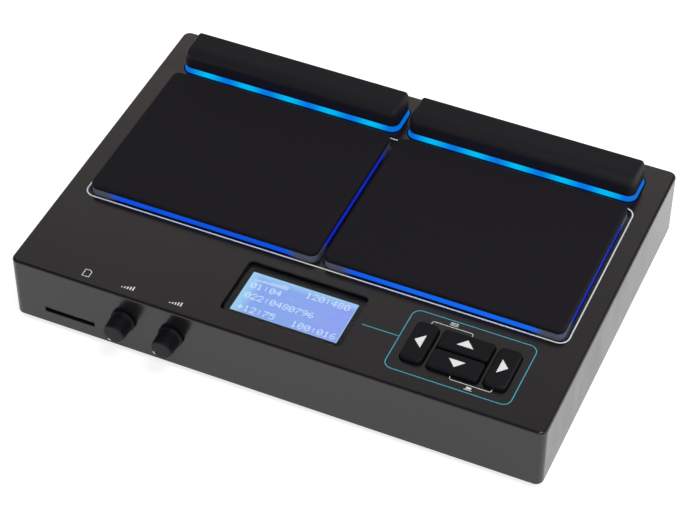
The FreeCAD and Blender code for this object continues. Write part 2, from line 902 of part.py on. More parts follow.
def pad_lights():
    """Light boards on the tray floors and the light chips on them."""
    boards = []
    chips = []
    chip_low = tray_low + S.led_board
    row = int(S.pad_light_count.value)
    for _, side in SIDES:
        x = side * pad_x
        outer_x = pad_width - 2 * (S.pad_ring + S.board_clearance)
        outer_y = pad_depth - 2 * (S.pad_ring + S.board_clearance)
        body = new_body(x, pad_y, tray_low)
        ring = sketch(body)
        rectangle(ring, outer_x, outer_y)
        rectangle(ring, outer_x - 2 * S.pad_board_width, outer_y - 2 * S.pad_board_width)
        pad(body, ring, S.led_board, "Board")
        boards.append(body)
        run_x = outer_x / 2 - S.pad_board_width / 2
        run_y = outer_y / 2 - S.pad_board_width / 2
        for shift in spread(row, outer_x):
            for end in (-1, 1):
                spot = (x + shift, pad_y + end * run_y)
                chips.append(centred_box(*spot, chip_low, S.led_side, S.led_side, S.led_height))
        for shift in spread(row - 2, outer_y):
            for end in (-1, 1):
                spot = (x + end * run_x, pad_y + shift)
                chips.append(centred_box(*spot, chip_low, S.led_side, S.led_side, S.led_height))

        strip_y = bar_y - S.bar_depth / 2 + S.bar_ring + S.board_clearance + S.bar_board_width / 2
        strip_x = side * bar_x
        strip_width = bar_width - 2 * (S.bar_ring + S.board_clearance)
        boards.append(centred_box(strip_x, strip_y, tray_low, strip_width, S.bar_board_width, S.led_board))
        for step in range(-2, 3):
            spot = (strip_x + step * S.bar_led_pitch, strip_y)
            chips.append(centred_box(*spot, chip_low, S.led_side, S.led_side, S.led_height))
    piece(group(boards), "light_boards")
    piece(group(chips), "light_chips")


def display():
    """Window, glass, metal bezel and board of the display."""
    x, y = S.display_x, display_y
    piece(centred_box(x, y, lens_low, lens_width, lens_depth, S.lens_thickness), "display_window")

    glass_top = lens_low - S.lens_clearance
    glass_wide = S.view_width + 2 * S.glass_margin
    glass_deep = S.view_depth + 2 * S.glass_margin
    glass_low = glass_top - S.bezel_face - S.glass_thickness
    piece(centred_box(x, y, glass_low, glass_wide, glass_deep, S.glass_thickness), "display_glass")

    bezel = new_body(x, y, bezel_low)
    outside = sketch(bezel)
    bezel_wide = glass_wide + 2 * S.bezel_wall
    bezel_deep = glass_deep + 2 * S.bezel_wall
    rectangle(outside, bezel_wide, bezel_deep)
    pad(bezel, outside, glass_top - bezel_low, "Can")
    inside = sketch(bezel)
    clearance = 2 * S.lens_clearance
    rectangle(inside, glass_wide + clearance, glass_deep + clearance)
    pocket(bezel, inside, glass_top - bezel_low - S.bezel_face, True, "Inside")
    view = sketch(bezel)
    rectangle(view, S.view_width, S.view_depth)
    pocket(bezel, view, glass_top - bezel_low, True, "View")
    piece(bezel, "display_bezel")

    board(x, y, bezel_low, S.lcd_board_width, S.lcd_board_depth, "display_board")


def board(x, y, upper, wide, deep, label):
    """A circuit board by the height of its upper face."""
    return piece(centred_box(x, y, upper - S.board_thickness, wide, deep, S.board_thickness), label)


def keys():
    """Four key caps, held by ears below the panel, over their switches."""
    switches = []
    for label, shift_x, shift_y, wide, deep, corner in KEYS:
        x = keys_x + shift_x
        y = keys_y + shift_y
        body = new_body(x, y, key_low)
        ease = S.key_round
        height = top + S.key_rise - key_low
        soft_block(body, (wide, deep, corner), height, ease, (ease, ease, ease), S.key_facets)
        ears = sketch(body)
        reach = 2 * (S.key_slot + S.key_ear)
        rectangle(ears, wide + reach, deep - 2 * corner)
        pad(body, ears, S.key_flange, "Ears")
        peg = sketch(body, "XY", 0, 0, -S.key_plunger)
        rectangle(peg, S.key_plunger_side, S.key_plunger_side)
        pad(body, peg, S.key_plunger, "Plunger")
        piece(body, label)

        can = centred_box(x, y, key_board_top, S.switch_side, S.switch_side, S.switch_height)
        stem_low = key_board_top + S.switch_height
        stem = centred_box(x, y, stem_low, S.switch_stem_side, S.switch_stem_side, S.switch_stem)
        switches.append(fuse(can, stem))
    piece(group(switches), "key_switches")
    board(keys_x, keys_y, key_board_top, S.key_board_width, S.key_board_depth, "key_board")


# Between the bottom and the left, where both pointers stand at rest
POINTER_REST = Rotation(Vector(0, 1, 0), -140)


def knobs():
    """Two volume knobs on the shafts of their potentiometers."""
    pots = []
    end_y = front - S.knob_proud
    for name, x in KNOBS:
        length = S.knob_proud - S.knob_wall_gap
        body = new_body(x, end_y, knob_z, POINTER_REST)
        profile = sketch(body)
        bore_radius = S.shaft_radius + S.knob_fit
        bore_start = length - S.knob_bore_depth
        outline(
            profile,
            [
                (0, 0),
                (S.knob_radius, 0),
                (S.knob_radius, length - S.knob_collar),
                (S.knob_collar_radius, length - S.knob_collar),
                (S.knob_collar_radius, length),
                (bore_radius, length),
                (bore_radius, bore_start),
                (0, bore_start),
            ],
        )
        revolve(body, profile, "Knob")
        mark = sketch(body, "XZ", 0, S.knob_radius - 2 * S.pointer_depth - S.pointer_length / 2)
        rectangle(mark, S.pointer_width, S.pointer_length)
        pocket(body, mark, S.pointer_depth, name="PointerGroove")
        piece(body, "knob_" + name)

        pot_front = front + S.wall
        shaft_start = end_y + bore_start + S.knob_fit
        shaft_end = pot_front + S.pot_depth / 2
        shaft = cylinder(x, shaft_start, knob_z, S.shaft_radius, shaft_end - shaft_start, "back")
        piece(shaft, "pot_shaft_" + name)

        half = S.pot_side / 2
        can = box(x - half, pot_front, knob_z - half, S.pot_side, S.pot_depth, S.pot_side)
        well_length = S.pot_depth / 2 + S.shaft_running_gap
        well_radius = S.shaft_radius + S.shaft_running_gap
        pots.append(cut(can, cylinder(x, pot_front, knob_z, well_radius, well_length, "back")))
    piece(group(pots), "potentiometers")

    board_x = knob_x - S.pot_side / 2 - S.pot_board_margin
    board_y = front + S.wall + S.pot_depth
    board_wide = S.knob_pitch + S.pot_side + 2 * S.pot_board_margin
    board_low = knob_z - S.pot_board_height / 2
    upright = box(board_x, board_y, board_low, board_wide, S.board_thickness, S.pot_board_height)
    piece(upright, "pot_board")


def card_reader():
    """The memory card socket behind its slot, on a small board."""
    x = card_x
    face = front + S.wall
    mouth_low = base + S.card_high - S.card_mouth_height / 2
    shell_low = mouth_low - S.card_socket_shell
    shell_tall = S.card_mouth_height + 2 * S.card_socket_shell
    shell = box(
        x - S.card_socket_width / 2,
        face,
        shell_low,
        S.card_socket_width,
        S.card_socket_depth,
        shell_tall,
    )
    mouth_wide = S.card_socket_width - 4 * S.card_socket_shell
    mouth = box(
        x - mouth_wide / 2,
        face,
        mouth_low,
        mouth_wide,
        S.card_socket_depth - 2 * S.card_socket_shell,
        S.card_mouth_height,
    )
    piece(cut(shell, mouth), "card_socket")
    y = face + S.card_board_depth / 2
    board(x, y, shell_low, S.card_board_width, S.card_board_depth, "card_board")
    corners = board_corners(x, y, S.card_board_width, S.card_board_depth, S.standoff_radius)
    return corners, shell_low - S.board_thickness


def main_electronics(card_corners, card_board_low):
    """The main board, what is soldered on it, and the standoffs of the boards."""
    x = CENTRE
    y = behind(S.main_board_front + S.main_board_depth / 2)
    upper = base + S.main_board_high + S.board_thickness
    board(x, y, upper, S.main_board_width, S.main_board_depth, "main_board")
    corners = board_corners(x, y, S.main_board_width, S.main_board_depth, S.board_hole_inset)
    standoffs = []
    for posts, level in ((corners, upper - S.board_thickness), (card_corners, card_board_low)):
        for post_x, post_y in posts:
            standoffs.append(hexagon(post_x, post_y, plate_top, S.standoff_radius, level - plate_top))
    piece(group(standoffs), "board_standoffs")

    unit = S.main_board_depth / 8
    chips = [
        centred_box(x - 2 * unit, y, upper, 2 * unit, 2 * unit, S.chip_height),
        centred_box(x + 1 * unit, y + unit, upper, 1.6 * unit, unit, S.chip_height),
        centred_box(x + 1 * unit, y - unit, upper, 1.6 * unit, unit, S.chip_height),
        centred_box(x + 4 * unit, y, upper, unit, 1.4 * unit, S.chip_height),
        centred_box(x - 5 * unit, y - unit, upper, 0.8 * unit, 3 * unit, 3 * S.chip_height),
        centred_box(x, y + 3 * unit, upper, 4 * unit, 0.6 * unit, 3 * S.chip_height),
    ]
    chips.append(cylinder(x + 5 * unit, y - 1.5 * unit, upper, unit / 3, 5 * S.chip_height))
    piece(group(chips), "main_board_parts")


def jack_sockets():
    """Five jack sockets whose noses pass through the back wall."""
    sockets = []
    nose_end = back + S.jack_nose_proud
    for x in JACKS:
        can = box(
            x - S.jack_side / 2,
            inner_back - S.jack_depth,
            jack_board_top,
            S.jack_side,
            S.jack_depth,
            S.jack_tall,
        )
        nose = cylinder(x, nose_end, jack_z, S.jack_nose_radius, nose_end - inner_back, "forward")
        bore = cylinder(x, nose_end, jack_z, S.jack_bore_radius, S.jack_bore_depth, "forward")
        sockets.append(cut(fuse(can, nose), bore))
    piece(group(sockets), "jack_sockets")


def back_sockets():
    """Power inlet, power switch with its button, square data socket and round five-pin socket."""
    side = S.power_socket_side
    can = box(
        power_x - side / 2,
        inner_back - S.power_socket_depth,
        jack_board_top,
        side,
        S.power_socket_depth,
        side,
    )
    face = cylinder(power_x, back, power_z, S.power_face_radius, S.wall, "forward")
    bore = cylinder(power_x, back, power_z, S.power_bore_radius, S.power_bore_depth, "forward")
    pin_length = S.power_bore_depth - S.wall / 2
    pin = cylinder(power_x, back - S.wall / 2, power_z, S.power_pin_radius, pin_length, "forward")
    piece(fuse(cut(fuse(can, face), bore), pin), "power_socket")

    half = S.switch_body_side / 2
    body_back = inner_back - S.button_flange - S.button_travel - 2 * S.pad_play
    switch_can = box(
        switch_x - half,
        body_back - S.switch_body_depth,
        jack_board_top,
        S.switch_body_side,
        S.switch_body_depth,
        S.switch_body_side,
    )
    well_side = S.button_stem_side + 2 * S.seat_clearance
    well_depth = S.switch_body_depth - S.button_flange
    well = box(
        switch_x - well_side / 2,
        body_back - well_depth,
        switch_z - well_side / 2,
        well_side,
        well_depth,
        well_side,
    )
    piece(cut(switch_can, well), "power_switch")

    button = new_body(switch_x, inner_back - S.pad_play, switch_z)
    cap = sketch(button, "XZ")
    rectangle(cap, S.button_side, S.button_side)
    cap_pad = pad(button, cap, S.wall + S.pad_play + S.rear_proud, "Cap")
    cap_pad.Reversed = True
    flange = sketch(button, "XZ")
    rectangle(flange, S.button_side + 2 * (S.button_slot + S.key_ear), S.button_side)
    pad(button, flange, S.button_flange, "Flange")
    stem = sketch(button, "XZ")
    rectangle(stem, S.button_stem_side, S.button_stem_side)
    stem_length = S.button_flange + S.button_travel + S.switch_body_depth / 2
    pad(button, stem, stem_length, "Stem")
    piece(button, "power_button")

    shell = box(
        usb_x - S.usb_width / 2,
        back - S.usb_depth,
        jack_board_top,
        S.usb_width,
        S.usb_depth,
        S.usb_height,
    )
    mouth_wide = S.usb_width - 2 * S.usb_shell
    mouth_tall = S.usb_height - 2 * S.usb_shell
    mouth = box(
        usb_x - mouth_wide / 2,
        back - S.usb_depth + S.usb_shell,
        usb_z - mouth_tall / 2,
        mouth_wide,
        S.usb_depth - S.usb_shell,
        mouth_tall,
    )
    tongue = box(
        usb_x - S.usb_tongue_width / 2,
        back - S.usb_depth,
        usb_z - S.usb_tongue_height / 2,
        S.usb_tongue_width,
        S.usb_tongue_depth,
        S.usb_tongue_height,
    )
    piece(fuse(cut(shell, mouth), tongue), "usb_socket")

    can = box(
        midi_x - S.midi_side / 2,
        inner_back - S.midi_depth,
        jack_board_top,
        S.midi_side,
        S.midi_depth,
        S.midi_side,
    )
    face = cylinder(midi_x, back, midi_z, S.midi_face_radius, S.wall, "forward")
    well = cylinder(midi_x, back, midi_z, S.midi_well_radius, S.midi_well, "forward")
    pins = []
    side = S.midi_pin_side
    for step in range(5):
        angle = step * QUARTER_TURN / 2
        pin_x = midi_x - math.cos(angle) * S.midi_pin_ring
        pin_z = midi_z - math.sin(angle) * S.midi_pin_ring
        pin_y = back - S.midi_well
        pins.append(box(pin_x - side / 2, pin_y, pin_z - side / 2, side, S.midi_well - S.wall, side))
    piece(fuse(cut(fuse(can, face), well), *pins), "midi_socket")

    board_y = inner_back - S.jack_board_depth / 2 - S.seat_clearance
    board(CENTRE, board_y, jack_board_top, jack_board_width, S.jack_board_depth, "jack_board")


def check_features():
    """Stops if an object failed, or if a cut took nothing away."""
    for item in document.Objects:
        if "Invalid" in item.State or "Error" in item.State:
            raise RuntimeError(f"{item.Name} ({item.Label}) failed: {item.State}")
        if item.TypeId == "PartDesign::Pocket":
            before = item.BaseFeature.Shape.Volume
            if item.Shape.Volume > before - 1e-3:
                raise RuntimeError(f"{item.Name} cuts nothing")


def write_pieces():
    os.makedirs("parts", exist_ok=True)
    for item in PIECES:
        shape = item.Shape
        if shape.isNull() or not shape.isValid():
            raise RuntimeError(f"{item.Label} has no valid shape")
        shape.exportStep(f"parts/{item.Label}.step")
        print(f"{item.Label}: {len(shape.Solids)} solid(s), {shape.Volume / 1000:.2f} cm3")


top_cover()
bottom_cover()
feet()
tray("pad_tray", pad_y, S.pad_gap / 2 + pad_width, pad_depth, main_slot)
tray("bar_tray", bar_y, S.bar_gap / 2 + bar_width, S.bar_depth, bar_slot)
for side_name, side_sign in SIDES:
    main_pad(side_name, side_sign)
    bar_pad(side_name, side_sign)
pad_lights()
display()
keys()
knobs()
main_electronics(*card_reader())
jack_sockets()
back_sockets()

document.recompute()
check_features()
write_pieces()
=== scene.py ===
# %% [markdown]
# # A tabletop electronic drum pad
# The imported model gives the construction: every piece at its real size, and the bodies that move.
# This lesson dresses it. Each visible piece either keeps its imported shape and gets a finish, or is
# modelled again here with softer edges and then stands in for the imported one.

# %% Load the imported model
import json
from collections import namedtuple
from math import atan2, cos, pi, radians, sin

import bmesh
import bpy
from mathutils import Matrix, Vector


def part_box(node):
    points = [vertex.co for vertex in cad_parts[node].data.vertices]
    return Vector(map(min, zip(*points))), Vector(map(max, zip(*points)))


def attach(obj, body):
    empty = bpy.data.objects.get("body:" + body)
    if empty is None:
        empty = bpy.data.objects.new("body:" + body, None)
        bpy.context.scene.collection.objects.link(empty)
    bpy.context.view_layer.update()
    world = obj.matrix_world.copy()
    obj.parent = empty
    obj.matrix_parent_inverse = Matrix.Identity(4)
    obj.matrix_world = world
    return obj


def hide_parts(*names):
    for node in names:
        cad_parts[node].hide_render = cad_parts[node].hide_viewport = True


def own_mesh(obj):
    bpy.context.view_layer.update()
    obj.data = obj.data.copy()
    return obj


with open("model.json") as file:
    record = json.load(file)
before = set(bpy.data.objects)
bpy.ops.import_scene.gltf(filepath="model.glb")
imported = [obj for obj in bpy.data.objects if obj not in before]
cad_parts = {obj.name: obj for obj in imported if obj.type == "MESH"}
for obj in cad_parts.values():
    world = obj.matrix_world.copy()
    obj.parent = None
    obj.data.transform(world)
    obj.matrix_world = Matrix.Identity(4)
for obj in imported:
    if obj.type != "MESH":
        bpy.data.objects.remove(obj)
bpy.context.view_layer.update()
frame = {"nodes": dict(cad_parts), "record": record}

MM = 0.001

# %% [markdown]
# ## The camera
# The photograph looks down at the front right corner from well over a metre away, so the lens is long
# and the verticals hardly lean. The place of the camera was worked out from the housing's corners,
# the pads and the display, whose sizes are known. A tracking helper could aim it at an empty, but
# writing the turn and the tilt out keeps the view exact and easy to nudge.

# %% Set the camera
CAMERA_PLACE = Vector((375.0, -852.0, 939.8)) * MM
CAMERA_TURN, CAMERA_TILT, CAMERA_ROLL = 23.867, 44.87, 0.1
LENS, SENSOR_WIDTH = 122.45, 36.0
FAR_LIMIT = 20.0

scene = bpy.context.scene


def put(name, data):
    """Puts a camera, a lamp or a mesh into the scene as an object."""
    made = bpy.data.objects.new(name, data)
    scene.collection.objects.link(made)
    return made


camera_data = bpy.data.cameras.new("camera")
camera_data.lens = LENS
camera_data.sensor_width = SENSOR_WIDTH
camera_data.clip_end = FAR_LIMIT
camera = put("camera", camera_data)
aim = Matrix.Rotation(radians(CAMERA_TURN), 4, "Z") @ Matrix.Rotation(radians(90 - CAMERA_TILT), 4, "X")
lean = Matrix.Rotation(radians(CAMERA_ROLL), 4, "Z")
camera.matrix_world = Matrix.Translation(CAMERA_PLACE) @ aim @ lean
scene.camera = camera
print("camera at", [round(value, 3) for value in CAMERA_PLACE], "lens", LENS)

# %% [markdown]
# ## Small node helpers
# A material is a tree of nodes joined by links. Each node could be placed and linked by hand, but the
# same few steps come back in every finish. These helpers take them over, so that a finish later reads
# as a few lines of plain sums and mixes.

# %% Helpers that add and join nodes


def new_nodes(owner):
    """Empties the node tree of a material or a world and gives it back."""
    owner.use_nodes = True
    owner.node_tree.nodes.clear()
    return owner.node_tree


def add_node(tree, kind, **settings):
    """Adds a node. A setting is a property of the node, or the value of a socket of that name."""
    node = tree.nodes.new(kind)
    for name, value in settings.items():
        if hasattr(node, name):
            setattr(node, name, value)
        else:
            node.inputs[name.replace("_", " ")].default_value = value
    return node


def feed(tree, value, socket):
    """Links a socket to another, or writes a plain value into it."""
    if isinstance(value, bpy.types.NodeSocket):
        tree.links.new(value, socket)
    else:
        socket.default_value = value


def maths(tree, operation, *values, clamp=False):
    node = add_node(tree, "ShaderNodeMath", operation=operation, use_clamp=clamp)
    for socket, value in zip(node.inputs, values):
        feed(tree, value, socket)
    return node.outputs[0]


def times(tree, first, second):
    return maths(tree, "MULTIPLY", first, second)


def opposite(tree, share):
    """What is left of 1."""
    return maths(tree, "SUBTRACT", 1.0, share)


def mix_colour(tree, factor, first, second):
    """The first colour at factor 0 and the second at 1. A colour mix has its sockets at 6 and 7."""
    node = add_node(tree, "ShaderNodeMix", data_type="RGBA")
    feed(tree, factor, node.inputs["Factor"])
    feed(tree, first, node.inputs[6])
    feed(tree, second, node.inputs[7])
    return node.outputs[2]


def ramp(tree, value, low, high):
    """Rises smoothly from 0 at the low value to 1 at the high one."""
    node = add_node(tree, "ShaderNodeMapRange", interpolation_type="SMOOTHSTEP", From_Min=low,
                    From_Max=high)
    feed(tree, value, node.inputs["Value"])
    return node.outputs["Result"]


def colour(red, green, blue):
    """A colour as a screen shows it, from 0 to 255, turned into scene light."""
    shares = [part / 255 for part in (red, green, blue)]
    return tuple(s / 12.92 if s <= 0.04045 else ((s + 0.055) / 1.055) ** 2.4 for s in shares) + (1.0,)


WHITE, BLACK = colour(255, 255, 255), colour(0, 0, 0)
print("white is", WHITE)

# %% [markdown]
# ## Studio: sky, floor and lamps
# A product shot stands on a white ground under large soft lights. Dark satin plastic shows its
# surroundings more than its own colour, so what it mirrors matters as much as what lights it. The walls
# mirror the white ground. The panel mirrors a wide dim light that hangs behind, and the rounded rim
# between them mirrors the dark room above, which draws a thin black line round the panel. The floor
# stays a real surface, so that it takes shadows. It is solid from above and clear from below, which
# leaves the underside open to view.

# %% The sky. A pair in brackets is where, from -1 to 1, one part of it becomes the next.
SKY_SEEN, SKY_LIGHT, ROOM_MIRRORED = 0.975, 0.62, 0.08
HORIZON = (0.05, 0.3)
BACK_LIGHT_DIM, BACK_LIGHT_BRIGHT = 0.3, 1.1
BACK_LIGHT_TINT = (1.0, 0.9, 0.82, 1.0)
NEAR_END, RIGHT_END = (0.3, 0.5), (-0.12, 0.12)
LOWER_END, UPPER_END = (0.45, 0.58), (0.78, 0.86)
BRIGHT_LEAN, BRIGHT_END = -0.36, (0.735, 0.81)


def by_ray(tree, lighting, seen, mirrored):
    """One strength for rays that only light, one for the camera and glass, and one for mirrors."""
    path = add_node(tree, "ShaderNodeLightPath")
    looks = maths(tree, "MAXIMUM", path.outputs["Is Camera Ray"], path.outputs["Is Transmission Ray"])
    mirrors = path.outputs["Is Glossy Ray"]
    only_lights = opposite(tree, maths(tree, "MAXIMUM", looks, mirrors))
    total = maths(tree, "MULTIPLY_ADD", mirrors, mirrored, times(tree, looks, seen))
    return maths(tree, "MULTIPLY_ADD", only_lights, lighting, total)


scene.view_settings.view_transform = "Standard"
world = bpy.data.worlds.new("studio")
scene.world = world
sky = new_nodes(world)
background = add_node(sky, "ShaderNodeBackground")
direction = add_node(sky, "ShaderNodeSeparateXYZ")
feed(sky, add_node(sky, "ShaderNodeTexCoord").outputs["Generated"], direction.inputs[0])
to_right, to_back, height = direction.outputs
room = maths(sky, "MULTIPLY_ADD", ramp(sky, height, *HORIZON), ROOM_MIRRORED - SKY_SEEN, SKY_SEEN)
within = times(sky, ramp(sky, to_back, *NEAR_END), ramp(sky, height, *LOWER_END))
for place, end in ((to_right, RIGHT_END), (height, UPPER_END)):
    within = times(sky, within, opposite(sky, ramp(sky, place, *end)))
to_back_left = maths(sky, "MULTIPLY_ADD", to_right, BRIGHT_LEAN, to_back)
brighter = times(sky, within, ramp(sky, to_back_left, *BRIGHT_END))
dim_light = times(sky, within, BACK_LIGHT_DIM)
back_light = maths(sky, "MULTIPLY_ADD", brighter, BACK_LIGHT_BRIGHT - BACK_LIGHT_DIM, dim_light)
mirrored = maths(sky, "ADD", room, back_light)
feed(sky, mix_colour(sky, brighter, WHITE, BACK_LIGHT_TINT), background.inputs["Color"])
feed(sky, by_ray(sky, SKY_LIGHT, SKY_SEEN, mirrored), background.inputs["Strength"])
feed(sky, background.outputs[0], add_node(sky, "ShaderNodeOutputWorld").inputs[0])
print("the sky has", len(sky.nodes), "nodes")

# %% The floor
FLOOR_COLOUR = colour(205, 205, 205)
FLOOR_LIFT_SEEN, FLOOR_LIFT_MIRRORED, FLOOR_LIFT_LIGHT = 0.7, 0.64, 0.15
FLOOR_REACH = 4.0
FLOOR_DROP = 0.05 * MM

floor_material = bpy.data.materials.new("studio_floor")
ground = new_nodes(floor_material)
matt = add_node(ground, "ShaderNodeBsdfDiffuse", Color=FLOOR_COLOUR)
lift = add_node(ground, "ShaderNodeEmission", Color=WHITE)
lift_strength = by_ray(ground, FLOOR_LIFT_LIGHT, FLOOR_LIFT_SEEN, FLOOR_LIFT_MIRRORED)
feed(ground, lift_strength, lift.inputs["Strength"])
lifted = add_node(ground, "ShaderNodeAddShader")
feed(ground, matt.outputs[0], lifted.inputs[0])
feed(ground, lift.outputs[0], lifted.inputs[1])
one_sided = add_node(ground, "ShaderNodeMixShader")
feed(ground, add_node(ground, "ShaderNodeNewGeometry").outputs["Backfacing"], one_sided.inputs[0])
feed(ground, lifted.outputs[0], one_sided.inputs[1])
feed(ground, add_node(ground, "ShaderNodeBsdfTransparent").outputs[0], one_sided.inputs[2])
feed(ground, one_sided.outputs[0], add_node(ground, "ShaderNodeOutputMaterial").inputs["Surface"])

floor_bm = bmesh.new()
bmesh.ops.create_grid(floor_bm, x_segments=4, y_segments=4, size=FLOOR_REACH)
bmesh.ops.translate(floor_bm, vec=(0, 0, -FLOOR_DROP), verts=floor_bm.verts)
floor_mesh = bpy.data.meshes.new("studio_floor")
floor_bm.to_mesh(floor_mesh)
floor_bm.free()
floor_mesh.materials.append(floor_material)
floor = put("studio_floor", floor_mesh)
print("the floor reaches", FLOOR_REACH, "m each way")

# %% The lamps: place in mm, side in metres, power in watts
LAMPS = {
    "lamp_above": ((520, -260, 1500), 0.6, 7.0),
    "lamp_front": ((500, -1500, 900), 0.5, 2.6),
    "lamp_right": ((1100, 300, 420), 1.2, 3.5),
}
for lamp_name, (lamp_place, lamp_side, lamp_power) in LAMPS.items():
    lamp_data = bpy.data.lights.new(lamp_name, "AREA")
    lamp_data.shape = "SQUARE"
    lamp_data.size = lamp_side
    lamp_data.energy = lamp_power
    lamp = put(lamp_name, lamp_data)
    lamp.location = Vector(lamp_place) * MM
    lamp.rotation_euler = lamp.location.to_track_quat("Z", "Y").to_euler()
print("lamps:", list(LAMPS))

# %% [markdown]
# ## Effects that many finishes share
# Moulded plastic, painted steel and rubber differ in colour and gloss, but they share three habits:
# a fine grain from the mould or the coating, cloudy patches where hands and cloths have been, and
# edges that are a little paler than the faces. Each habit is one node group with its own inputs, so
# every finish can take as much of it as it needs.

# %% Helpers for groups, and the group for fine surface grain


def new_group(name, inputs, **outputs):
    """A shader node group. Its inputs have their usual values, its outputs their kinds."""
    tree = bpy.data.node_groups.new(name, "ShaderNodeTree")
    for socket_name, value in inputs.items():
        socket = tree.interface.new_socket(socket_name, in_out="INPUT", socket_type="NodeSocketFloat")
        socket.default_value = value
    for socket_name, kind in outputs.items():
        tree.interface.new_socket(socket_name, in_out="OUTPUT", socket_type="NodeSocket" + kind)
    return tree, tree.nodes.new("NodeGroupInput").outputs, tree.nodes.new("NodeGroupOutput").inputs


def object_place(tree):
    return add_node(tree, "ShaderNodeTexCoord").outputs["Object"]


def noise(tree, place, scale, **settings):
    """A noise texture whose place and scale come from other sockets."""
    node = add_node(tree, "ShaderNodeTexNoise", **settings)
    feed(tree, place, node.inputs["Vector"])
    feed(tree, scale, node.inputs["Scale"])
    return node


grain_group, grain_in, grain_out = new_group(
    "surface_grain", {"Scale": 2500.0, "Softness": 0.5}, Height="Float"
)
grain_noise = noise(grain_group, object_place(grain_group), grain_in["Scale"], Detail=3.0)
feed(grain_group, grain_in["Softness"], grain_noise.inputs["Roughness"])
feed(grain_group, grain_noise.outputs[0], grain_out["Height"])
print(grain_group.name, "has", len(grain_group.nodes), "nodes")

# %% Group: cloudy handling marks
STREAK_STRETCH = (1.0, 9.0, 1.0)
STREAK_TURN = (0.0, 0.0, 0.5)
MARK_START, MARK_FULL = 0.12, 0.42

smudge_group, smudge_in, smudge_out = new_group(
    "handling_marks", {"Scale": 18.0, "Streaks": 6.0}, Mask="Float"
)
smudge_place = object_place(smudge_group)
clouds = noise(smudge_group, smudge_place, smudge_in["Scale"], Detail=4.0, Roughness=0.6)
wiped = add_node(smudge_group, "ShaderNodeMapping", Scale=STREAK_STRETCH, Rotation=STREAK_TURN)
feed(smudge_group, smudge_place, wiped.inputs["Vector"])
streaks = noise(smudge_group, wiped.outputs[0], smudge_in["Streaks"], Detail=5.0, Roughness=0.7)
marked = times(smudge_group, clouds.outputs[0], streaks.outputs[0])
feed(smudge_group, ramp(smudge_group, marked, MARK_START, MARK_FULL), smudge_out["Mask"])
print(smudge_group.name, "has", len(smudge_group.nodes), "nodes")

# %% Group: paler, rounder edges
WEAR_START, WEAR_FULL = 0.02, 0.25

edge_group, edge_in, edge_out = new_group(
    "soft_edges", {"Radius": 0.0006, "Breakup": 160.0}, Mask="Float", Normal="Vector"
)
rounded = add_node(edge_group, "ShaderNodeBevel", samples=4)
feed(edge_group, edge_in["Radius"], rounded.inputs["Radius"])
alike = add_node(edge_group, "ShaderNodeVectorMath", operation="DOT_PRODUCT")
feed(edge_group, rounded.outputs[0], alike.inputs[0])
feed(edge_group, add_node(edge_group, "ShaderNodeNewGeometry").outputs["Normal"], alike.inputs[1])
bent = ramp(edge_group, opposite(edge_group, alike.outputs["Value"]), WEAR_START, WEAR_FULL)
patches = noise(edge_group, object_place(edge_group), edge_in["Breakup"], Detail=2.0)
feed(edge_group, times(edge_group, bent, patches.outputs[0]), edge_out["Mask"])
feed(edge_group, rounded.outputs[0], edge_out["Normal"])
print("groups:", [group.name for group in bpy.data.node_groups])

# %% [markdown]
# ## Finishes
# A finish is one Principled shader. Its colour, roughness and normal come from the groups, and
# everything that is the same all over the surface is set on the shader itself. A recipe makes every
# finish from a colour and a roughness, and takes more words only where a finish is special.

# %% The recipe for a finish
FINISHES = {}
MARK_PALER, WEAR_PALER = (1.7, 0.01), (2.2, 0.02)
MARK_DULLER, GRAIN_DULLER = 0.08, 0.06
# Dark base under a glow. Below the panel, where the glow stops, this dark is painted shade of the slot
# round the frame.
GLOW_BASE_SLOT_SHADE = colour(3, 8, 24)


def paler(face, factor, lift):
    return tuple(min(1.0, part * factor + lift) for part in face[:3]) + (1.0,)


def place_group(tree, group, **values):
    return add_node(tree, "ShaderNodeGroup", node_tree=group, **values).outputs


def finish(name, face, roughness, *, metal=0.0, shine=0.5, ior=1.5, grain=2500.0, depth=0.00002,
           cloud=0.12, edge=0.25, edge_radius=0.0006, glow=None):
    """Makes a material with grain, handling marks and softened edges, and files it under its name.

    The depth of the grain is in metres. A glow gives a colour, a strength and the lit share, or
    None where the whole piece is lit.
    """
    material = bpy.data.materials.new(name)
    tree = new_nodes(material)
    shader = add_node(tree, "ShaderNodeBsdfPrincipled", Metallic=metal, IOR=ior, Specular_IOR_Level=shine)
    edges = place_group(tree, edge_group, Radius=edge_radius)
    marks = place_group(tree, smudge_group)
    height = place_group(tree, grain_group, Scale=grain)["Height"]
    marked_face, worn_face = paler(face, *MARK_PALER), paler(face, *WEAR_PALER)
    if glow:
        glow_colour, glow_strength, lit = glow(tree)
        feed(tree, glow_colour, shader.inputs["Emission Color"])
        shader.inputs["Emission Strength"].default_value = glow_strength
        if lit:
            # Along the lit share the face turns dark: it lies under the glow above the panel, and below
            # the panel it is painted slot shade.
            face = mix_colour(tree, lit, face, GLOW_BASE_SLOT_SHADE)
    cloudy = mix_colour(tree, times(tree, marks["Mask"], cloud), face, marked_face)
    edged = mix_colour(tree, times(tree, edges["Mask"], edge), cloudy, worn_face)
    feed(tree, edged, shader.inputs["Base Color"])
    duller = maths(tree, "MULTIPLY_ADD", marks["Mask"], MARK_DULLER, roughness, clamp=True)
    feed(tree, maths(tree, "MULTIPLY_ADD", height, GRAIN_DULLER, duller), shader.inputs["Roughness"])
    bump = add_node(tree, "ShaderNodeBump", Strength=1.0, Distance=depth)
    feed(tree, height, bump.inputs["Height"])
    feed(tree, edges["Normal"], bump.inputs["Normal"])
    feed(tree, bump.outputs[0], shader.inputs["Normal"])
    feed(tree, shader.outputs[0], add_node(tree, "ShaderNodeOutputMaterial").inputs["Surface"])
    FINISHES[name] = material
    return material


print("marks make a face paler by", MARK_PALER, "and wear by", WEAR_PALER)

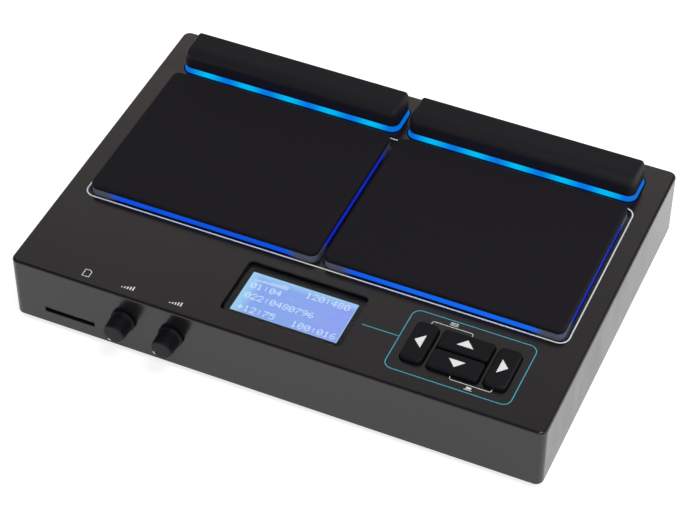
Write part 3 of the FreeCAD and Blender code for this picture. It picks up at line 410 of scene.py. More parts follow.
# %% Finishes of plastic and rubber
finish("cover_plastic", colour(24, 21, 24), 0.15, grain=3200, depth=0.000006, cloud=0.05, edge=0.08,
       edge_radius=0.0003)
finish("foot_rubber", colour(36, 36, 36), 0.8, grain=900, depth=0.00005)
finish("tray_plastic", colour(52, 52, 52), 0.6)
finish("strike_rubber", colour(23, 20, 27), 0.62, grain=1800, depth=0.00004, cloud=0.03, edge=0.0,
       shine=0.2)
finish("bar_rubber", colour(22, 19, 25), 0.5, grain=1800, depth=0.00004, cloud=0.03, edge=0.0, shine=0.3)
finish("foam", colour(60, 60, 62), 0.95, grain=700, depth=0.0003, edge=0.0)
finish("core_plastic", colour(58, 58, 58), 0.6)
finish("key_rubber", colour(14, 11, 17), 0.45, grain=2200, depth=0.00003, cloud=0.03, edge=0.06,
       shine=0.25)
finish("knob_plastic", colour(14, 12, 17), 0.42, grain=2600, edge=0.06, shine=0.2)
finish("jack_plastic", colour(28, 28, 29), 0.3, grain=2000)
finish("button_plastic", colour(30, 30, 31), 0.28, grain=2600)
finish("port_black", colour(16, 16, 18), 0.4, grain=1800)
print(len(FINISHES), "finishes of plastic and rubber")

# %% Finishes of metal, boards and print
finish("base_plate", colour(42, 42, 43), 0.5, grain=1500, depth=0.00004)
finish("standoff_brass", colour(205, 170, 100), 0.3, metal=1.0, grain=900)
finish("pad_plate", colour(170, 172, 175), 0.35, metal=1.0)
finish("sensor_disc", colour(200, 165, 90), 0.35, metal=1.0)
finish("circuit_board", colour(24, 88, 48), 0.35, grain=500, depth=0.00003)
finish("chips", colour(34, 34, 36), 0.45)
finish("light_chips", colour(235, 232, 215), 0.4)
finish("bezel_metal", colour(9, 6, 11), 0.5, grain=1500, shine=0.05)
finish("switch_metal", colour(180, 182, 186), 0.35, metal=1.0, grain=1200)
finish("shaft_metal", colour(195, 196, 198), 0.3, metal=1.0, grain=1200)
finish("socket_metal", colour(188, 190, 192), 0.25, metal=1.0, grain=1400)
finish("nut_metal", colour(150, 152, 156), 0.32, metal=1.0, grain=1000, cloud=0.2)
finish("screw_steel", colour(58, 58, 61), 0.38, metal=1.0, grain=1200, cloud=0.2)
finish("contact_gold", colour(214, 176, 96), 0.3, metal=1.0, grain=1000)
finish("print_white", colour(226, 229, 228), 0.5, edge=0.0, cloud=0.2)
finish("print_teal", colour(66, 176, 198), 0.5, edge=0.0, cloud=0.1)
print(len(FINISHES), "plain finishes")

# %% [markdown]
# ## Lit bands
# Light chips sit in a row under the clear frame of each pad, and its edge above the panel glows. Over
# the bars the frame is thin and the chips are close, so each one shows as a brighter spot. Round the
# large pads the light comes mostly from the middle of each side, and the corners stay milky grey.
# Lamps inside a refracting frame would be truest but slow and noisy; a glow that is drawn by place
# on the surface looks the same and lights its neighbours too.

# %% Where a point of the surface lies


def node_box(name):
    """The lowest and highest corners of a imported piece, in mm."""
    return [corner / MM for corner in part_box(name)]


def axes_of(tree, vector):
    parts = add_node(tree, "ShaderNodeSeparateXYZ")
    feed(tree, vector, parts.inputs[0])
    return parts.outputs


def place_in_mm(tree):
    return [maths(tree, "DIVIDE", part, MM) for part in axes_of(tree, object_place(tree))]


def from_middle(tree, value, low, high):
    """How far a coordinate is from the middle between two values."""
    return maths(tree, "ABSOLUTE", maths(tree, "SUBTRACT", value, (low + high) / 2))


def side_share(tree):
    """1 on faces that look left or right, 0 on faces that look to the front or back."""
    normal = add_node(tree, "ShaderNodeNewGeometry").outputs["Normal"]
    return ramp(tree, maths(tree, "ABSOLUTE", axes_of(tree, normal)[0]), *SIDEWAYS)


def above_panel(tree, z):
    return ramp(tree, z, PANEL + GLOW_FOOT[0], PANEL + GLOW_FOOT[1])


SIDEWAYS, GLOW_FOOT = (0.35, 0.9), (0.05, 0.4)
main_low, main_high = node_box("main_pad_rubber_right")
bar_low, bar_high = node_box("bar_pad_rubber_right")
cover_low, cover_high = node_box("top_cover")
PANEL = cover_high.z
print("panel at", PANEL, "mm; large pad", main_high - main_low)

# %% The glow of the large pads. Fades are distances in mm from the ends of a side.
MILKY = colour(98, 106, 128)
MAIN_FRONT_GLOW_LEFT, MAIN_FRONT_GLOW_RIGHT = colour(0, 79, 222), colour(0, 101, 236)
MAIN_SIDE_GLOW = colour(12, 38, 184)
MAIN_FADE_X, MAIN_FADE_Y = (19, 10), (17, 9)
FRONT_CHANGE = (-20, 70)


def main_glow(tree):
    x, y, z = place_in_mm(tree)
    lit_axes = []
    for place, low, high, fade in (
        (maths(tree, "ABSOLUTE", x), main_low.x, main_high.x, MAIN_FADE_X),
        (y, main_low.y, main_high.y, MAIN_FADE_Y),
    ):
        half = (high - low) / 2
        along = from_middle(tree, place, low, high)
        lit_axes.append(opposite(tree, ramp(tree, along, half - fade[0], half - fade[1])))
    sides = side_share(tree)
    front_lit, side_lit = times(tree, lit_axes[0], opposite(tree, sides)), times(tree, lit_axes[1], sides)
    lit = maths(tree, "ADD", side_lit, front_lit)
    front = mix_colour(tree, ramp(tree, x, *FRONT_CHANGE), MAIN_FRONT_GLOW_LEFT, MAIN_FRONT_GLOW_RIGHT)
    shade = mix_colour(tree, sides, front, MAIN_SIDE_GLOW)
    return mix_colour(tree, times(tree, lit, above_panel(tree, z)), BLACK, shade), 1.0, lit


finish("main_light", MILKY, 0.4, shine=0.15, cloud=0.05, edge=0.0, glow=main_glow)
print("the light of a large pad has", len(FINISHES["main_light"].node_tree.nodes), "nodes")

# %% The glow of the bars
CHIP_PITCH = 26.2
BAR_GLOW, BAR_HOT, BAR_END_GLOW = colour(2, 118, 229), colour(0, 190, 244), colour(0, 110, 218)
SPOT_SWING, SPOT_MEAN = 0.45, 0.47
BAR_FADE = (9, 2)


def bar_glow(tree):
    x, _, z = place_in_mm(tree)
    middle_x, half_x = (bar_low.x + bar_high.x) / 2, (bar_high.x - bar_low.x) / 2
    local = maths(tree, "SUBTRACT", maths(tree, "ABSOLUTE", x), middle_x)
    wave = maths(tree, "COSINE", times(tree, local, 2 * pi / CHIP_PITCH))
    shade = mix_colour(tree, maths(tree, "MULTIPLY_ADD", wave, SPOT_SWING, SPOT_MEAN), BAR_GLOW, BAR_HOT)
    at_end = ramp(tree, maths(tree, "ABSOLUTE", local), half_x - BAR_FADE[0], half_x - BAR_FADE[1])
    shade = mix_colour(tree, at_end, shade, BAR_END_GLOW)
    return mix_colour(tree, above_panel(tree, z), BLACK, shade), 1.0, None


# The bar frame is dark all over: the glow covers it above the panel, and below the panel the dark is
# painted slot shade.
finish("bar_light", GLOW_BASE_SLOT_SHADE, 0.4, shine=0.15, cloud=0.05, edge=0.0, glow=bar_glow)
print("one spot every", CHIP_PITCH, "mm")

# %% [markdown]
# ## Display
# The display is a pale violet-blue backlit glass behind a black frame. The lamps of the backlight sit
# at the left and upper edges, so the glass is whiter there, and a whiter line runs round the part
# that shows signs. The clear plate in front only has to bend and mirror light a little, so its finish
# is the common recipe with full transmission and no bump.

# %% The backlight. Fades are distances in mm from the edges of the glass.
screen_low, screen_high = node_box("display_glass")
BACKLIGHT, BACKLIGHT_FAR = colour(127, 166, 242), colour(136, 160, 246)
BACKLIGHT_EDGE = colour(164, 226, 250)
LCD_BASE = colour(20, 24, 60)
VIEW_HALF_X, VIEW_HALF_Y = 31.2, 15.35
LEFT_FADE, UPPER_FADE, FAR_START = (5, 15), (11, 4), 30
LINE_FADE = (-1.1, -0.3)
EDGE_SHARE, LINE_SHARE = 0.8, 0.7
BACKLIGHT_STRENGTH = 0.9


def backlight_glow(tree):
    x, y, _ = place_in_mm(tree)
    left = opposite(tree, ramp(tree, x, screen_low.x + LEFT_FADE[0], screen_low.x + LEFT_FADE[1]))
    upper = ramp(tree, y, screen_high.y - UPPER_FADE[0], screen_high.y - UPPER_FADE[1])
    far = ramp(tree, x, screen_low.x + FAR_START, screen_high.x)
    body = mix_colour(tree, far, BACKLIGHT, BACKLIGHT_FAR)
    past_x = maths(tree, "SUBTRACT", from_middle(tree, x, screen_low.x, screen_high.x), VIEW_HALF_X)
    past_y = maths(tree, "SUBTRACT", from_middle(tree, y, screen_low.y, screen_high.y), VIEW_HALF_Y)
    line = times(tree, ramp(tree, maths(tree, "MAXIMUM", past_x, past_y), *LINE_FADE), LINE_SHARE)
    edge = times(tree, maths(tree, "MAXIMUM", left, upper), EDGE_SHARE)
    whiter = maths(tree, "MAXIMUM", edge, line)
    return mix_colour(tree, whiter, body, BACKLIGHT_EDGE), BACKLIGHT_STRENGTH, None


finish("display_glass", LCD_BASE, 0.2, cloud=0.0, edge=0.0, glow=backlight_glow)
print("display", screen_high - screen_low)

# %% The clear plate
clear = finish("window", colour(245, 246, 248), 0.03, grain=400, depth=0.0, cloud=0.0, edge=0.0, ior=1.2)
clear_shader = next(node for node in clear.node_tree.nodes if node.type == "BSDF_PRINCIPLED")
clear_shader.inputs["Transmission Weight"].default_value = 1.0
clear.node_tree.links.remove(clear_shader.inputs["Normal"].links[0])
print("the plate lets through", clear_shader.inputs["Transmission Weight"].default_value, "of the light")

# %% [markdown]
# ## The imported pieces
# Boards, trays, shafts and other plain pieces already have their right shape. Each only needs its
# finish, and its record says which: the name of its material slot is the name of a finish here. Only
# the clear frames have no finish by that name, because each is modelled again.

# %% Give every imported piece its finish
packed_slots = {part["node"]: part["material_slot"] for part in frame["record"]["subparts"]}
for node_name, node_object in frame["nodes"].items():
    chosen = FINISHES.get(packed_slots[node_name])
    if chosen:
        node_object.data.materials.clear()
        node_object.data.materials.append(chosen)
print(len(frame["nodes"]), "packed pieces carry a finish")

# %% [markdown]
# ## Tools for soft-edged shapes
# Almost every piece here is a slab with upright round corners and a rolled top edge. It starts as a
# cube, and two bevels shape it: one on the upright edges, one on the rim. Round pieces are cylinders
# or spun profiles. Openings are cut with a boolean, which keeps the wall whole and needs no list of
# points. All of them are shaped in mm, and a last helper makes each a finished piece in metres.

# %% Helpers that move, bevel and make slabs


TOUCH = 1e-3


def everything(bm):
    return list(bm.verts) + list(bm.edges) + list(bm.faces)


def shift(bm, offset, verts=None):
    bmesh.ops.translate(bm, vec=offset, verts=verts or bm.verts)


def stretch(bm, factors, verts=None):
    bmesh.ops.scale(bm, vec=factors, verts=verts or bm.verts)


def rotate(bm, angle, axis):
    bmesh.ops.rotate(bm, matrix=Matrix.Rotation(angle, 3, axis), verts=bm.verts)


def bevel(bm, geom, offset, steps, affect="EDGES"):
    bmesh.ops.bevel(bm, geom=geom, offset=offset, offset_type="OFFSET", segments=steps, profile=0.5,
                    affect=affect, material=-1)


def edges_at(bm, level):
    """The edges that lie flat at one height."""
    return [e for e in bm.edges if all(abs(v.co.z - level) < TOUCH for v in e.verts)]


def thicken(bm, thickness, place):
    """Gives flat faces a thickness upwards and moves them to their place."""
    grown = bmesh.ops.extrude_face_region(bm, geom=list(bm.faces))
    shift(bm, (0, 0, thickness), [item for item in grown["geom"] if isinstance(item, bmesh.types.BMVert)])
    shift(bm, place)
    return bm


def block(low, high, corner=0.0, top=0.0, under=0.0, steps=8, roll=6):
    """A slab between two corners in mm, with upright corners and both rims bevelled round."""
    bm = bmesh.new()
    bmesh.ops.create_cube(bm, size=1)
    low, high = Vector(low), Vector(high)
    stretch(bm, high - low)
    shift(bm, (low + high) / 2)
    if corner:
        bevel(bm, [e for e in bm.edges if abs(e.verts[0].co.z - e.verts[1].co.z) > TOUCH], corner, steps)
    for level, ease in ((high.z, top), (low.z, under)):
        if ease:
            bevel(bm, edges_at(bm, level), ease, roll)
    return bm


def inset_block(low, high, inset, bottom, top, corner=0.0, steps=8):
    """A slab that stays inside an outline by an inset, or reaches outside by a negative one."""
    return block((low.x + inset, low.y + inset, bottom), (high.x - inset, high.y - inset, top), corner,
                 steps=steps)


def block_out(low, high, corner=0.0, rim=0.0):
    """A slab whose rounded corners and rolled rim face the back instead of upwards."""
    bm = block((low[0], -high[2], low[1]), (high[0], -low[2], high[1]), corner, rim, steps=4, roll=4)
    rotate(bm, -pi / 2, "X")
    return bm


print("a plain slab has", len(block((0, 0, 0), (1, 1, 1)).faces), "faces")

# %% Helpers for round shapes


def rod(centre, radius, length, segments=48):
    """A round bar that starts at a point and runs to the back."""
    bm = bmesh.new()
    bmesh.ops.create_cone(bm, cap_ends=True, segments=segments, radius1=radius, radius2=radius,
                          depth=length)
    shift(bm, (0, 0, length / 2))
    rotate(bm, -pi / 2, "X")
    shift(bm, centre)
    return bm


def turned(profile, centre, upright=False, closed=True, steps=48):
    """Spins a profile of (radius, distance along the axis). An open one ends on the axis."""
    bm = bmesh.new()
    verts = [bm.verts.new((radius, distance, 0)) for radius, distance in profile]
    for first, second in zip(verts, verts[1:] + (verts[:1] if closed else [])):
        bm.edges.new((first, second))
    bmesh.ops.spin(bm, geom=everything(bm), cent=(0, 0, 0), axis=(0, 1, 0), angle=2 * pi, steps=steps,
                   use_merge=True)
    bmesh.ops.remove_doubles(bm, verts=bm.verts, dist=1e-4)
    if upright:
        rotate(bm, pi / 2, "X")
    shift(bm, centre)
    return bm


print("a rod has", len(rod((0, 0, 0), 1, 1).faces), "faces")

# %% Helpers that join, cut and finish


def joined(parts):
    """Several shapes as one mesh of separate islands."""
    whole = bmesh.new()
    for part in parts:
        mesh = bpy.data.meshes.new("join")
        part.to_mesh(mesh)
        part.free()
        whole.from_mesh(mesh)
        bpy.data.meshes.remove(mesh)
    return whole


def mesh_object(bm, name):
    mesh = bpy.data.meshes.new(name)
    bm.to_mesh(mesh)
    bm.free()
    return put(name, mesh)


def carve(bm, *cutters):
    """Cuts the cutters, which may not touch each other, out of a solid."""
    solid = mesh_object(bm, "carve_solid")
    tool = mesh_object(joined(cutters), "carve_tool")
    cut = solid.modifiers.new("cut", "BOOLEAN")
    cut.operation = "DIFFERENCE"
    cut.solver = "EXACT"
    cut.object = tool
    result = bmesh.new()
    result.from_mesh(solid.evaluated_get(bpy.context.evaluated_depsgraph_get()).to_mesh())
    for used in (solid, tool):
        mesh = used.data
        bpy.data.objects.remove(used)
        bpy.data.meshes.remove(mesh)
    return result


SHARP_ANGLE = 35


def piece(bm, name, material, body="base", replaces=()):
    """Turns a shape in mm into a finished piece that rides on a body."""
    stretch(bm, (MM, MM, MM))
    bmesh.ops.recalc_face_normals(bm, faces=bm.faces)
    made = mesh_object(bm, name)
    made.data.materials.append(FINISHES[material])
    made.data.polygons.foreach_set("use_smooth", [True] * len(made.data.polygons))
    made.data.set_sharp_from_angle(angle=radians(SHARP_ANGLE))
    weighted = made.modifiers.new("even_shading", "WEIGHTED_NORMAL")
    weighted.keep_sharp = True
    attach(made, body)
    if replaces:
        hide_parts(*replaces)
    print(f"{name}: {len(made.data.polygons)} faces on {body}")
    return made


print("edges over", SHARP_ANGLE, "degrees stay sharp")

# %% [markdown]
# ## The moulded cover
# One deep shell carries everything: rounded rims, four upright corners, an opening for every pad and
# key, a stepped window, and holes in the front and back walls. It could be built wall by wall, but a
# slab that is hollowed and then cut stays one closed shape, as the moulding is.

# %% Sizes of the cover and of the pads in it, in mm
WALL = 2.5
COVER_CORNER, COVER_RIM, COVER_FOOT = 4.5, 1.5, 0.5
SIDE_KEY_CORNER, MIDDLE_KEY_CORNER, KEY_GAP, KEY_EAR = 3.2, 1.8, 0.4, 1.0
WINDOW_CORNER, WINDOW_LEDGE, WINDOW_GAP, WINDOW_ABOVE = 3.0, 1.4, 0.2, 0.05
SIDES = ("left", "right")

# gap: room round the frame in the cover; flare: how far the frame widens; ring: its width inwards;
# lip: how far the skin's edge hangs over it; seat_lip: how wide that edge is; top: the rolled edge;
# steps and roll: how many faces curve round a corner and over the top.
PadKind = namedtuple("PadKind", "rubber light corner gap flare ring lip seat_lip top steps roll")
PADS = {
    "main": PadKind("strike_rubber", "main_light", 4.5, 1.0, 0.0, 6.0, 0.3, 2.5, 1.6, 10, 8),
    "bar": PadKind("bar_rubber", "bar_light", 5.0, 0.5, 0.9, 4.0, 0.65, 3.0, 5.0, 12, 10),
}

key_boxes = {}
for key in ("left", "right", "up", "down"):
    low, high = node_box("key_" + key)
    key_boxes[key] = (Vector((low.x + KEY_EAR, low.y, high.z)), Vector((high.x - KEY_EAR, high.y, high.z)))
for key, (low, high) in key_boxes.items():
    print("key", key, [round(value, 1) for value in (*low[:2], *high[:2])])

# %% Shape the shell and cut its openings
OPENING_DEPTH, POCKET_DEPTH, PAST = 8, 10, 5


def opening(low, high, margin, corner):
    """A cutter round a piece that stands in the panel."""
    return inset_block(low, high, -margin, PANEL - OPENING_DEPTH, PANEL + PAST, corner + margin)


shell = block(cover_low, cover_high, COVER_CORNER, COVER_RIM, COVER_FOOT, steps=10, roll=5)
shell = carve(shell, inset_block(cover_low, cover_high, WALL, cover_low.z - PAST, PANEL - WALL,
                                 COVER_CORNER - WALL))
cuts = []
for side in SIDES:
    for kind, pad in PADS.items():
        cuts.append(opening(*node_box(f"{kind}_pad_rubber_{side}"), pad.flare + pad.gap, pad.corner))
    cuts.append(opening(*key_boxes[side], KEY_GAP, SIDE_KEY_CORNER))
cuts.append(opening(key_boxes["down"][0], key_boxes["up"][1], KEY_GAP, MIDDLE_KEY_CORNER))
window_low, window_high = node_box("display_window")
cuts.append(opening(window_low, window_high, -WINDOW_LEDGE, WINDOW_CORNER + WINDOW_LEDGE))
shell = carve(shell, *cuts)
shell = carve(shell, inset_block(window_low, window_high, -WINDOW_GAP, PANEL - POCKET_DEPTH,
                                 window_high.z + WINDOW_ABOVE, WINDOW_CORNER))
print("shell:", len(shell.faces), "faces with its", len(cuts), "openings")

# %% Cut the holes of the front and back walls
front, back = cover_low.y, cover_high.y
CUT_OUTSIDE, CUT_INSIDE = 2, 1
CUT_LENGTH = CUT_OUTSIDE + WALL + CUT_INSIDE
SHAFT_HOLE, JACK_HOLE, POWER_HOLE, MIDI_HOLE = 3.5, 5.7, 4.8, 7.8
CARD_MARGIN, USB_MARGIN, BUTTON_MARGIN = 0.8, 0.3, 0.4
CARD_SLOT_LOW, CARD_SLOT_HIGH = 11.5, 14.9
JACK_XS = (-104.0, -62.0, -38.0, -2.0, 22.0)
BUTTON_FACE = (Vector((104, 0, 14.05)), Vector((112, 0, 22.05)))


def middle_of(name):
    return sum(node_box(name), Vector()) / 2


shaft_centres = {name: middle_of("pot_shaft_" + name) for name in ("main", "phones")}
JACK_Z = middle_of("jack_sockets").z
power, midi, usb = (middle_of(name) for name in ("power_socket", "midi_socket", "usb_socket"))
from_front, from_back = front - CUT_OUTSIDE, back - WALL - CUT_INSIDE

card_low, card_high = node_box("card_socket")
wall_cuts = [block((card_low.x - CARD_MARGIN, from_front, CARD_SLOT_LOW),
                   (card_high.x + CARD_MARGIN, front + WALL + CUT_INSIDE, CARD_SLOT_HIGH))]
round_cuts = [(centre.x, from_front, centre.z, SHAFT_HOLE) for centre in shaft_centres.values()]
round_cuts += [(x, from_back, JACK_Z, JACK_HOLE) for x in JACK_XS]
round_cuts += [(power.x, from_back, power.z, POWER_HOLE), (midi.x, from_back, midi.z, MIDI_HOLE)]
wall_cuts += [rod(place, radius, CUT_LENGTH) for *place, radius in round_cuts]
for (low, high), margin in ((node_box("usb_socket"), USB_MARGIN), (BUTTON_FACE, BUTTON_MARGIN)):
    wall_cuts.append(block((low.x - margin, from_back, low.z - margin),
                           (high.x + margin, back + CUT_OUTSIDE, high.z + margin)))
shell = carve(shell, *wall_cuts)
print("shell:", len(shell.faces), "faces with its", len(wall_cuts), "holes")

# %% Ease the rims of the openings
RIM_EASE = 0.3
UPRIGHT, FLAT = 0.1, 0.9


def is_rim(edge):
    """Whether an upright wall meets the flat panel at an edge."""
    tilts = sorted(abs(face.normal.z) for face in edge.link_faces)
    return len(tilts) == 2 and tilts[0] < UPRIGHT and tilts[1] > FLAT


bevel(shell, [edge for edge in edges_at(shell, PANEL) if is_rim(edge)], RIM_EASE, 2)
piece(shell, "moulded_cover", "cover_plastic", replaces=["top_cover"])

# %% [markdown]
# ## Display window
# A clear plate with eased edges lies in a pocket under the opening. The black pressed frame behind it,
# which hides the edge of the glass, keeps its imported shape.

# %% Model the window
WINDOW_EASE = 0.15
window = block(window_low, window_high, WINDOW_CORNER, WINDOW_EASE, WINDOW_EASE, steps=6, roll=2)
piece(window, "clear_window", "window", replaces=["display_window"])

# %% [markdown]
# ## Strike pads
# The skins are cast rubber: flat where the stick lands and rolled over at the edge. Under each skin
# is the clear frame. Its flange hides below the panel, and its edge above the panel is the lit band.
# The bars' skins roll over further at the front than at the back, and their frames widen a little
# downwards. A bevel can't be lopsided, so a bar starts with an even roll, whose points then move in.

# %% Model the skins
SKIN_UNDER = 0.15
ROLL_REACH = 12.0
END_INSET, FRONT_INSET, BACK_INSET = 3.0, 6.6, 3.0


def drawn_in(distance, inset, drop):
    """Where a point of an even roll, as deep as its drop, lies once the roll reaches in by inset."""
    if distance <= drop:
        return distance * inset / drop
    share = min(1.0, (distance - drop) / (ROLL_REACH - drop))
    return distance + (inset - drop) * (1 - share)


def skin(kind, low, high):
    """A skin with a lip that hangs over the rim of its light frame."""
    pad = PADS[kind]
    bm = block((low.x, low.y, low.z - pad.lip), high, pad.corner, pad.top, SKIN_UNDER, steps=pad.steps,
               roll=pad.roll)
    if kind == "bar":
        for vert in bm.verts:
            rise = max(0.0, 1 - (high.z - vert.co.z) / pad.top)
            for axis, near, far in ((0, END_INSET, END_INSET), (1, FRONT_INSET, BACK_INSET)):
                from_low, from_high = vert.co[axis] - low[axis], high[axis] - vert.co[axis]
                vert.co[axis] += rise * (drawn_in(from_low, near, pad.top) - from_low)
                vert.co[axis] -= rise * (drawn_in(from_high, far, pad.top) - from_high)
    return carve(bm, inset_block(low, high, pad.seat_lip, low.z - pad.lip - 1, low.z))


print("a bar's roll moves in by", FRONT_INSET, "mm in front and", BACK_INSET, "mm at the back")

# %% Model the light frames
FRAME_FLANGE = 1.4
SEAT_DEPTH = 1.5
BAND_EASE = 0.25


def narrow_above_panel(neck, low, high, flare):
    """Draws the top of a flared neck back to the skin's outline. It stays upright below the panel."""
    bmesh.ops.bisect_plane(neck, geom=everything(neck), plane_co=(0, 0, PANEL), plane_no=(0, 0, 1))
    centre = (low + high) / 2
    size = high - low + 2 * Vector((flare, flare, 0))
    highest = max(v.co.z for v in neck.verts)
    top = [v for v in neck.verts if v.co.z > highest - TOUCH]
    shift(neck, -centre, top)
    stretch(neck, (1 - 2 * flare / size.x, 1 - 2 * flare / size.y, 1), top)
    shift(neck, centre, top)


def light_frame(name, pad, low, high):
    """The clear frame: flange, neck and lit band round a skin's outline, open in the middle."""
    node_low, node_high = node_box(name)
    node_high.z -= pad.lip
    flange = block(node_low, (node_high.x, node_high.y, node_low.z + FRAME_FLANGE))
    neck = inset_block(low, high, -pad.flare, node_low.z + FRAME_FLANGE, node_high.z,
                       pad.corner + pad.flare, steps=10)
    if pad.flare:
        narrow_above_panel(neck, low, high, pad.flare)
    bevel(neck, edges_at(neck, node_high.z), BAND_EASE, 2)
    neck, flange = (carve(shape, inset_block(low, high, pad.ring, node_low.z - 2, node_high.z + 2))
                    for shape in (neck, flange))
    seat = inset_block(low, high, pad.seat_lip, node_high.z + pad.lip - SEAT_DEPTH, node_high.z + 2)
    return joined([carve(neck, seat), flange])


for side in SIDES:
    for kind, pad in PADS.items():
        rubber_node, frame_node = f"{kind}_pad_rubber_{side}", f"{kind}_light_frame_{side}"
        pad_body = f"{kind}_pad_{side}"
        low, high = node_box(rubber_node)
        piece(skin(kind, low, high), f"{kind}_skin_{side}", pad.rubber, pad_body,
              replaces=[rubber_node])
        piece(light_frame(frame_node, pad, low, high), "lit_" + frame_node, pad.light, pad_body,
              replaces=[frame_node])

# %% [markdown]
# ## Foam gaskets
# Between each light frame and the tray under it is a closed ring of soft foam. It is what gives when a pad
# is struck.

# %% Model the foam rings
FOAM_CORNER, FOAM_EASE = 1.0, 0.5
for kind, foam_kind in (("main", "main_pad_foam_"), ("bar", "bar_foam_")):
    for side in SIDES:
        name = foam_kind + side
        low, high = node_box(name)
        gasket = block(low, high, FOAM_CORNER, FOAM_EASE, FOAM_EASE, steps=4, roll=3)
        gasket = carve(gasket, inset_block(*node_box(f"{kind}_pad_rubber_{side}"), PADS[kind].ring,
                                           low.z - 1, high.z + 1))
        made = piece(gasket, "gasket_" + name, "foam", replaces=[name])
        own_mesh(made)

# %% [markdown]
# ## Keys
# Four rubber keys share one shape with different outlines. The two in the middle meet at a narrow
# split. White arrows are printed on them, so the arrows are thin slabs that ride with the keys. A
# circle of three points is a triangle already, and only needs its size and rounded corners.

# %% Model the keys and their arrows
KEY_ROLL = 1.7
KEY_CAP_FOOT, KEY_FLANGE = 39.7, 1.2
EAR_INSET, EAR_CORNER = 3.2, 0.4
PLUNGER_HALF, PLUNGER_CORNER = 2.0, 0.5
PRINT_THICK = 0.03
ARROW_CORNER, ARROW_SHIFT = 0.25, 0.4
ARROWS = {
    "left": (-1, 0, 5.0, 9.6),
    "right": (1, 0, 4.9, 10.1),
    "up": (0, 1, 5.0, 9.5),
    "down": (0, -1, 5.1, 9.4),
}


def key_shape(name):
    """A cap with two ears under the panel and a plunger that meets its switch."""
    low, high = key_boxes[name]
    node_low, node_high = node_box("key_" + name)
    corner = SIDE_KEY_CORNER if name in SIDES else MIDDLE_KEY_CORNER
    cap = block((low.x, low.y, KEY_CAP_FOOT), high, corner, KEY_ROLL)
    ears = block((node_low.x, low.y + EAR_INSET, KEY_CAP_FOOT),
                 (node_high.x, high.y - EAR_INSET, KEY_CAP_FOOT + KEY_FLANGE), EAR_CORNER)
    centre = (low + high) / 2
    plunger = inset_block(centre, centre, -PLUNGER_HALF, node_low.z, KEY_CAP_FOOT, PLUNGER_CORNER)
    return joined([cap, ears, plunger])


def arrow(name):
    """A printed triangle. Its row gives where it points, its length and its width."""
    to_right, to_back, length, width = ARROWS[name]
    low, high = key_boxes[name]
    bm = bmesh.new()
    bmesh.ops.create_circle(bm, cap_ends=True, segments=3, radius=1.0)
    ends = [v.co.y for v in bm.verts]
    shift(bm, (0, -(max(ends) + min(ends)) / 2, 0))
    stretch(bm, (width / (3 ** 0.5), length / 1.5, 1))
    rotate(bm, atan2(-to_right, to_back), "Z")
    bevel(bm, list(bm.verts), ARROW_CORNER, 3, "VERTICES")
    middle = (low + high) / 2 + Vector((to_right, to_back, 0)) * ARROW_SHIFT
    return thicken(bm, PRINT_THICK, (middle.x, middle.y, high.z))


for key in ARROWS:
    piece(key_shape(key), "soft_key_" + key, "key_rubber", "key_" + key, replaces=["key_" + key])
    piece(arrow(key), "arrow_" + key, "print_white", "key_" + key)

# %% [markdown]
# ## Knobs
# Each knob is turned: a profile spun round the shaft. A white line along its side, which bends over
# the end, shows where it points. It is the same kind of spin, stopped after a few degrees.

# %% Spin the knobs
KNOB_PROFILE = ((0.0, 0.02), (5.2, 0.02), (5.7, 0.13), (6.05, 0.5), (6.15, 1.0), (6.5, 9.4), (6.7, 10.0),
                (7.25, 10.5), (7.3, 11.0), (7.3, 11.8), (3.1, 11.8), (3.1, 4.0), (0.0, 3.9))
POINTER_PROFILE = ((4.9, 0.0), (5.25, 0.0), (5.75, 0.1), (6.08, 0.48), (6.18, 1.0), (6.52, 9.2),
                   (6.3, 9.2), (5.95, 1.0), (5.6, 0.5), (5.2, 0.25), (4.9, 0.25))
POINTER_SPAN = 21.0
POINTER_ANGLES = {"main": -151.0, "phones": -128.0}


def pointer_shape(angle, place):
    """A thin strip over the knob's own profile. The angle is measured from straight up."""
    bm = bmesh.new()
    bm.faces.new([bm.verts.new((radius, distance, 0)) for radius, distance in POINTER_PROFILE])
    bmesh.ops.spin(bm, geom=everything(bm), cent=(0, 0, 0), axis=(0, 1, 0), angle=radians(POINTER_SPAN),
                   steps=4)
    rotate(bm, radians(angle - 90 - POINTER_SPAN / 2), "Y")
    shift(bm, place)
    return bm


for knob, centre in shaft_centres.items():
    place = (centre.x, node_box("knob_" + knob)[0].y, centre.z)
    body = turned(KNOB_PROFILE, place, closed=False, steps=64)
    piece(body, "turned_knob_" + knob, "knob_plastic", "knob_" + knob, replaces=["knob_" + knob])
    piece(pointer_shape(POINTER_ANGLES[knob], place), "pointer_" + knob, "print_white", "knob_" + knob)

# %% [markdown]
# ## Hardware on the back wall
# Each jack is clamped to the wall by a washer and a six-sided nut on its threaded nose. A nut starts as
# a six-sided cylinder and a washer as a spun profile. The thread is a profile too: four ridges, which
# is all that shows outside a nut. The round five-pin socket has a moulded face with holes inside a
# metal shield, and the square data socket a tongue with four contacts.

# %% Nuts, washers and threaded noses
WASHER_THICK = 0.45
WASHER = ((5.55, 0.0), (5.55, WASHER_THICK), (7.85, WASHER_THICK), (8.0, 0.3), (8.0, 0.0))
THREADED_NOSE = ((3.3, -0.05), (3.3, 1.7), (3.6, 2.0), (4.5, 2.0), (4.75, 1.75), (4.5, 1.5), (4.75, 1.25),
                 (4.5, 1.0), (4.75, 0.75), (4.5, 0.5), (4.5, -0.05))
NUT_RADIUS, NUT_THICK, NUT_EASE = 7.4, 1.9, 0.35
THREAD_HOLE, NOSE_HOLE, NOSE_GAP = 4.8, 5.55, 0.02
washer_end = back + WASHER_THICK
nose_end = node_box("jack_sockets")[1].y


